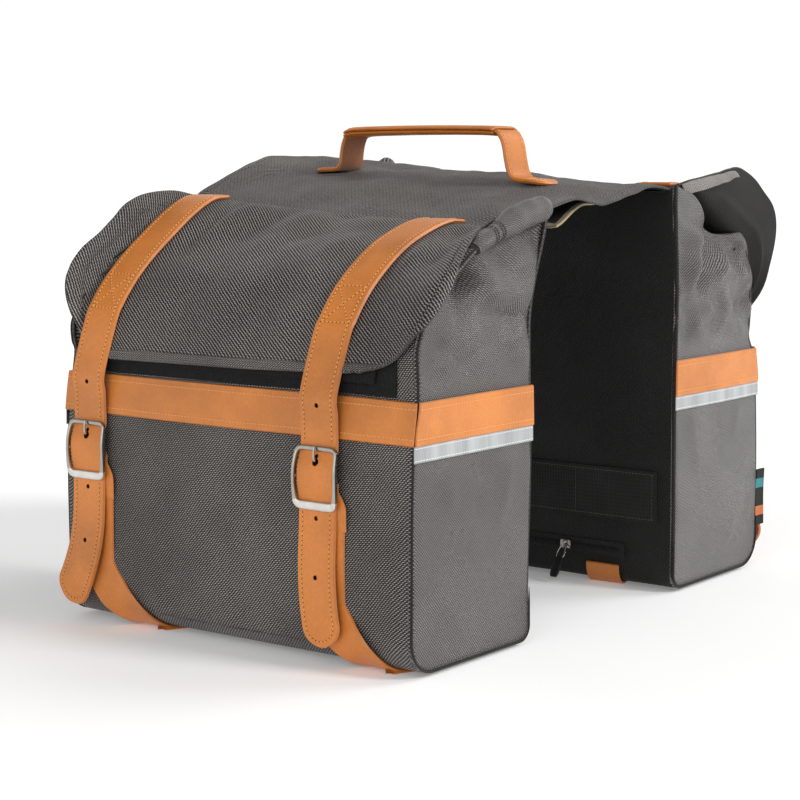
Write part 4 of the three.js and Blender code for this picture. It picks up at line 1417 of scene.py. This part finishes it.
# ---------------------------------------------------------------- bridge and handle

BRIDGE_X = (-160, -130, -111, -90, -30, 30, 90, 112, 140, 160)
BRIDGE_Y = (-104, -70, -35, 0, 35, 70, 104)
BRIDGE_Z = (
    (322, 336, 347, 353, 353, 350, 344),
    (316, 330, 340, 344, 348, 348, 344),
    (314, 327, 335, 337.5, 344, 347, 342),
    (311, 325, 334, 338, 343, 344, 340),
    (307, 321, 331, 337, 340, 341, 336),
    (304, 317, 327, 334, 337, 337, 332),
    (300, 313, 323, 330.5, 332, 332, 327),
    (298, 311, 321, 329.5, 331, 331, 326),
    (303, 313, 320, 322, 327, 330, 326),
    (308, 318, 323.5, 318, 323.5, 330, 329),
)


def table_surface(x, y):
    """Height of the bridge cloth."""
    fine_x = np.linspace(-160, 160, 161)
    fine_y = np.linspace(-104, 104, 105)
    rows = np.array(BRIDGE_Z, float)
    along = np.stack([smooth_at(BRIDGE_Y, r, fine_y) for r in rows])
    table = np.stack([smooth_at(BRIDGE_X, along[:, j], fine_x) for j in range(len(fine_y))], 1)
    return bilinear(fine_x, fine_y, table, np.clip(x, -160, 160), np.clip(y, -104, 104))


def bridge(shapes):
    """The cloth between the two hinge lines, in two halves that follow the two bags."""
    ys = np.linspace(0, 104, 54)
    slow, quick = waves(71, 60), waves(72, 26)
    for side in SIDES:
        sign = -1 if side == "right" else 1
        shape = shapes[side]
        xs = columns(160, 2.6, (0, 0.5, 1.2, 2.4, 3.6, 4.8, 6.0, 7.2, 8.6, 10.5))
        x = np.broadcast_to(xs[:, None], (len(xs), len(ys))).copy()
        y = np.broadcast_to(sign * ys[None], x.shape).copy()
        z = table_surface(x, y)
        p = np.stack([x, y, 0 * x], -1)
        soft = 0.55 * slow(p) + 0.22 * quick(p) + folds(x, y, BRIDGE_FOLDS)
        flat_feet = 1 - np.clip(bell(y, 0, 22) * (bell(x, -98, 24) + bell(x, 98, 24)), 0, 1)
        z = z + soft * flat_feet * ramp(np.abs(y), 104, 92)
        # Meets the flap's first row.
        bag_x = x[:, -1] * (1 if side == "right" else -1)
        start = shape.flap(np.zeros(len(bag_x)), bag_x, smoothed=True)
        pull = ramp(np.abs(y), 70, 104)
        z = z + (start[:, 2][:, None] - z[:, -1:]) * pull
        edge_y = sign * (HALF_GAP + start[:, 1])
        y = y + (edge_y[:, None] - y[:, -1:]) * pull
        edge = 160 - np.abs(x)
        hem = -0.6 * bell(edge, 6.5, 0.9) + 0.5 * ramp(edge, 6.5, 4.5)
        droop = -2.4 * ramp(edge, 12, 0) ** 1.5
        grid = np.stack([x, y, z + hem + droop], -1)
        if side == "right":
            grid = grid[:, ::-1]
        obj = slab(f"bridge_cloth_{side}", None, grid, FABRIC, lined("flap_fabric"), grid[..., :2])
        place(obj, "fabric", None, "bridge_panel")
        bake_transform(obj)
    # Pad under the cloth, with bound edges.
    xs = columns(150, 5.0, (0, 0.6, 1.5, 3.0, 4.5, 6.0))
    ys = columns(50, 3.0, (0, 0.6, 1.5, 3.0, 4.5, 6.0))
    x, y = np.broadcast_arrays(xs[:, None], ys[None])
    z = 324.6 - 0.6 * (y / 50) ** 2 + 0.25 * np.sin(x / 9) * np.cos(y / 50)
    z = z + np.minimum(0, table_surface(x, y) - 3.5 - z)
    # Past the rack its near corner hangs down.
    z = z - 15 * ramp(x, 96, 150) * ramp(y, -8, -50)
    edge = np.minimum(150 - np.abs(x), 50 - np.abs(y))
    z = z - 0.3 * bell(edge, 5.2, 0.8)
    grid = np.stack([x, y, z], -1)
    obj = slab("bridge_underlay", None, grid, 1.8, [M["webbing"], M["webbing"], M["tan_binding"]],
               grid[..., :2])
    bound = quads_where(edge < 5.5)
    mark(obj, "tan_binding", np.concatenate([bound, bound + edge[1:, 1:].size]))
    place(obj, "webbing", "bridge", "bridge_pad")


# The handle's line (x, z): its feet, and its level top.
HANDLE_LINE = (
    (-113, 339.4), (-104, 340.6), (-92, 341.0), (-86.5, 342.1), (-83.5, 346.1), (-82.5, 353.6),
    (-81, 360.8), (-78, 367.3), (-72, 371.2), (-40, 372.2), (0, 372.5), (40, 372.2), (68, 371.2),
    (74, 367.8), (77.5, 360.8), (80, 348.4), (82.5, 339.9), (86, 335.2), (92, 333.6), (104, 332.8),
    (114, 331.2))
GRIP_HALF = (73, 17.2)
GRIP_X = -4.0


def bend_at_feet(obj):
    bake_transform(obj)


def handle():
    line = even(curve(HANDLE_LINE, 14), 200)
    line = np.stack([line[:, 0], 0 * line[:, 0], line[:, 1]], -1)
    run = lengths(line)
    index = np.arange(len(line))
    rows = np.concatenate([np.linspace(0, 10, 26)[:-1], np.arange(10, 190),
                           np.linspace(190, 199, 26)[1:]])
    p = sample(line, index, rows)
    left = np.interp(rows, index, np.minimum(run, run[-1] - run))
    half = 14.0 * np.sqrt(np.clip(1 - (np.clip(10 - left, 0, None) / 10) ** 2, 0.02, 1))
    b = columns(1.0, 0.2, (0, 0.02, 0.06, 0.14))
    width = half[:, None] * b[None]
    grid = p[:, None] + width[..., None] * (0, 1.0, 0)
    obj = slab("handle_leather", None, grid, STRAP, TANNED, pair(p[:, :1], width))
    place(obj, "leather", None, "handle_strap")
    bend_at_feet(obj)
    up = unit(np.cross(unit(np.gradient(p, axis=0)), (0, 1.0, 0)))
    up = up * np.sign(up[len(up) // 2, 2])
    near = left > 3.4
    rows = [(p[near] + up[near] * 1.5 + (0, y, 0), up[near]) for y in (-10.8, 10.8)]
    # A crossed box on each foot.
    t = np.linspace(0, 1, 14)
    for x0, x1 in ((-110, -93), (93, 110)):
        for xa, ya, xb, yb in ((x0, -10, x1, 10), (x0, 10, x1, -10), (x1, -10, x1, 10),
                               (x0, -9, x0, 9)):
            x = xa + (xb - xa) * t
            z = np.interp(x, p[:, 0], p[:, 2]) + 1.5
            rows.append((np.stack([x, ya + (yb - ya) * t, z], -1), np.tile([0, 0, 1.0], (14, 1))))
    parts = [part for q, normal in rows for part in stitch_parts(q, normal, **COARSE)]
    obj = make("handle_stitches", None, *merged(parts), [M["thread"]])
    place(obj, "leather")
    bend_at_feet(obj)
    # Grip: an upper and a lower layer sewn together at the edges round the strap.
    long, wide = GRIP_HALF
    xs = columns(long, 3.0, (0, 0.5, 1.2, 2.6)) + GRIP_X
    ys = columns(wide, 2.4, (0, 0.5, 1.2, 2.6, 4.0))
    x, y = np.broadcast_arrays(xs[:, None], ys[None])
    lift = 1.05 + 1.55 * ramp(wide - np.abs(y), 0, 5)
    lift = lift + ramp(long - np.abs(x - GRIP_X), 0, 1.5) * 0.3
    for label, sign in (("top", 1), ("under", -1)):
        g = np.stack([x, y, np.interp(x, line[:, 0], line[:, 2]) + sign * lift], -1)
        obj = slab(f"grip_{label}", None, g, 1.7, TANNED if sign > 0
                   else [M["flesh"], M["leather"], M["leather_edge"]], g[..., :2])
        place(obj, "leather", "handle", "handle_grip")
    x = np.linspace(-75, 67, 90)
    inset = 3.4
    z = np.interp(x, line[:, 0], line[:, 2]) + 1.05 + 1.55 * ramp(inset, 0, 5) + 1.05
    rows = [(np.stack([x, np.full(90, y), z], -1), (0, 0, 1.0))
            for y in (inset - wide, wide - inset)]
    stitches("grip_stitches", None, rows, M["thread"], "handle")


def side_tag():
    low, high = node_box("left_side_tag")
    x0, x1 = -high[0], -low[0]
    u0, u1 = low[1] - HALF_GAP, high[1] - HALF_GAP
    us = np.linspace(u0 - 2, u1, 12)
    zs = np.linspace(low[2], high[2], 25)
    u, z = np.broadcast_arrays(us[:, None], zs[None])
    x = (x0 + x1) / 2 - 0.8 * ((u - u0) / 10) ** 2 + 0.3 * np.sin(z / 8)
    grid = np.stack([x, u, z], -1)
    obj = slab("left_tag", "left", grid, 1.0, WOVEN, grid[..., 1:])
    z = np.array([face.center[2] for face in obj.data.polygons]) / MM
    mark(obj, "stripe_a", (z > low[2] + 8) & (z < low[2] + 16))
    mark(obj, "stripe_b", (z > high[2] - 16) & (z < high[2] - 8))
    place(obj, "webbing", "left_bag", "left_side_tag")


def boards(side):
    for name in ("back_board", "base_board"):
        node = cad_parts[f"{side}_{name}"]
        node.data.materials.clear()
        node.data.materials.append(M["board"])


# ---------------------------------------------------------------- build

shapes = {side: Shape(side) for side in SIDES}
for side in SIDES:
    shape = shapes[side]
    wrap(shape)
    end_panel(shape, 1)
    end_panel(shape, 2)
    cuff(shape)
    trims(shape)
    flap(shape)
    hem_band(shape)
    flap_straps(shape)
    base_straps(shape)
    buckles(shape)
    inner_face(shape)
    boards(side)
bridge(shapes)
handle()
side_tag()


# ---------------------------------------------------------------- floor, light and camera

def stage_floor():
    mesh = bpy.data.meshes.new("floor")
    bm = bmesh.new()
    bmesh.ops.create_grid(bm, x_segments=2, y_segments=2, size=40.0)
    bm.to_mesh(mesh)
    bm.free()
    # A little light of its own, as a backdrop lit from behind has, keeps its shadows pale.
    mesh.materials.append(material(
        "white_floor", "floor", Base_Color=(0.96, 0.96, 0.96, 1), Roughness=0.7,
        Specular_IOR_Level=0.2, Emission_Color=(1, 1, 1, 1), Emission_Strength=0.15))
    linked("floor", mesh)


def sun(name, place, power, wide):
    """A soft lamp far away in the direction of a place, wide degrees across."""
    data = bpy.data.lights.new(name, "SUN")
    data.energy = power
    data.angle = math.radians(wide)
    light = linked(name, data)
    light.location = place
    light.rotation_euler = (-Vector(place)).to_track_quat("-Z", "Y").to_euler()


stage_floor()
sun("key", (2.0, 0.45, 1.3), 1.62, 16)
sun("back", (1.2, 1.7, 1.9), 0.9, 30)
sun("fill", (0.5, -1.6, 0.8), 0.66, 50)

world = bpy.data.worlds.new("studio")
world.use_nodes = True
background = world.node_tree.nodes["Background"]
background.inputs["Color"].default_value = (1, 1, 1, 1)
# Bright round the horizon and dim overhead, as in a room with white walls.
sky = Nodes(world.node_tree)
way = sky.add("ShaderNodeTexCoord").outputs["Generated"]
height = sky.add("ShaderNodeSeparateXYZ", {0: way}).outputs[2]
sky.put(sky.spread(height, 0.15, 0.75, 1.04, 0.24), background.inputs["Strength"])
bpy.context.scene.world = world
bpy.context.scene.view_settings.view_transform = "Standard"
bpy.context.scene.view_settings.look = "None"

AZIMUTH = math.radians(37.28)
PITCH = math.radians(7.0)
SENSOR = 36.0
FOCAL_IN_WIDTHS = 2.5142
camera_data = bpy.data.cameras.new("camera")
camera_data.sensor_width = SENSOR
camera_data.lens = FOCAL_IN_WIDTHS * SENSOR
camera = linked("camera", camera_data)
camera.location = (0.9579, -1.3012, 0.3544)
direction = Vector((-math.sin(AZIMUTH) * math.cos(PITCH), math.cos(AZIMUTH) * math.cos(PITCH),
                    -math.sin(PITCH)))
camera.rotation_euler = direction.to_track_quat("-Z", "Y").to_euler()
bpy.context.scene.camera = camera
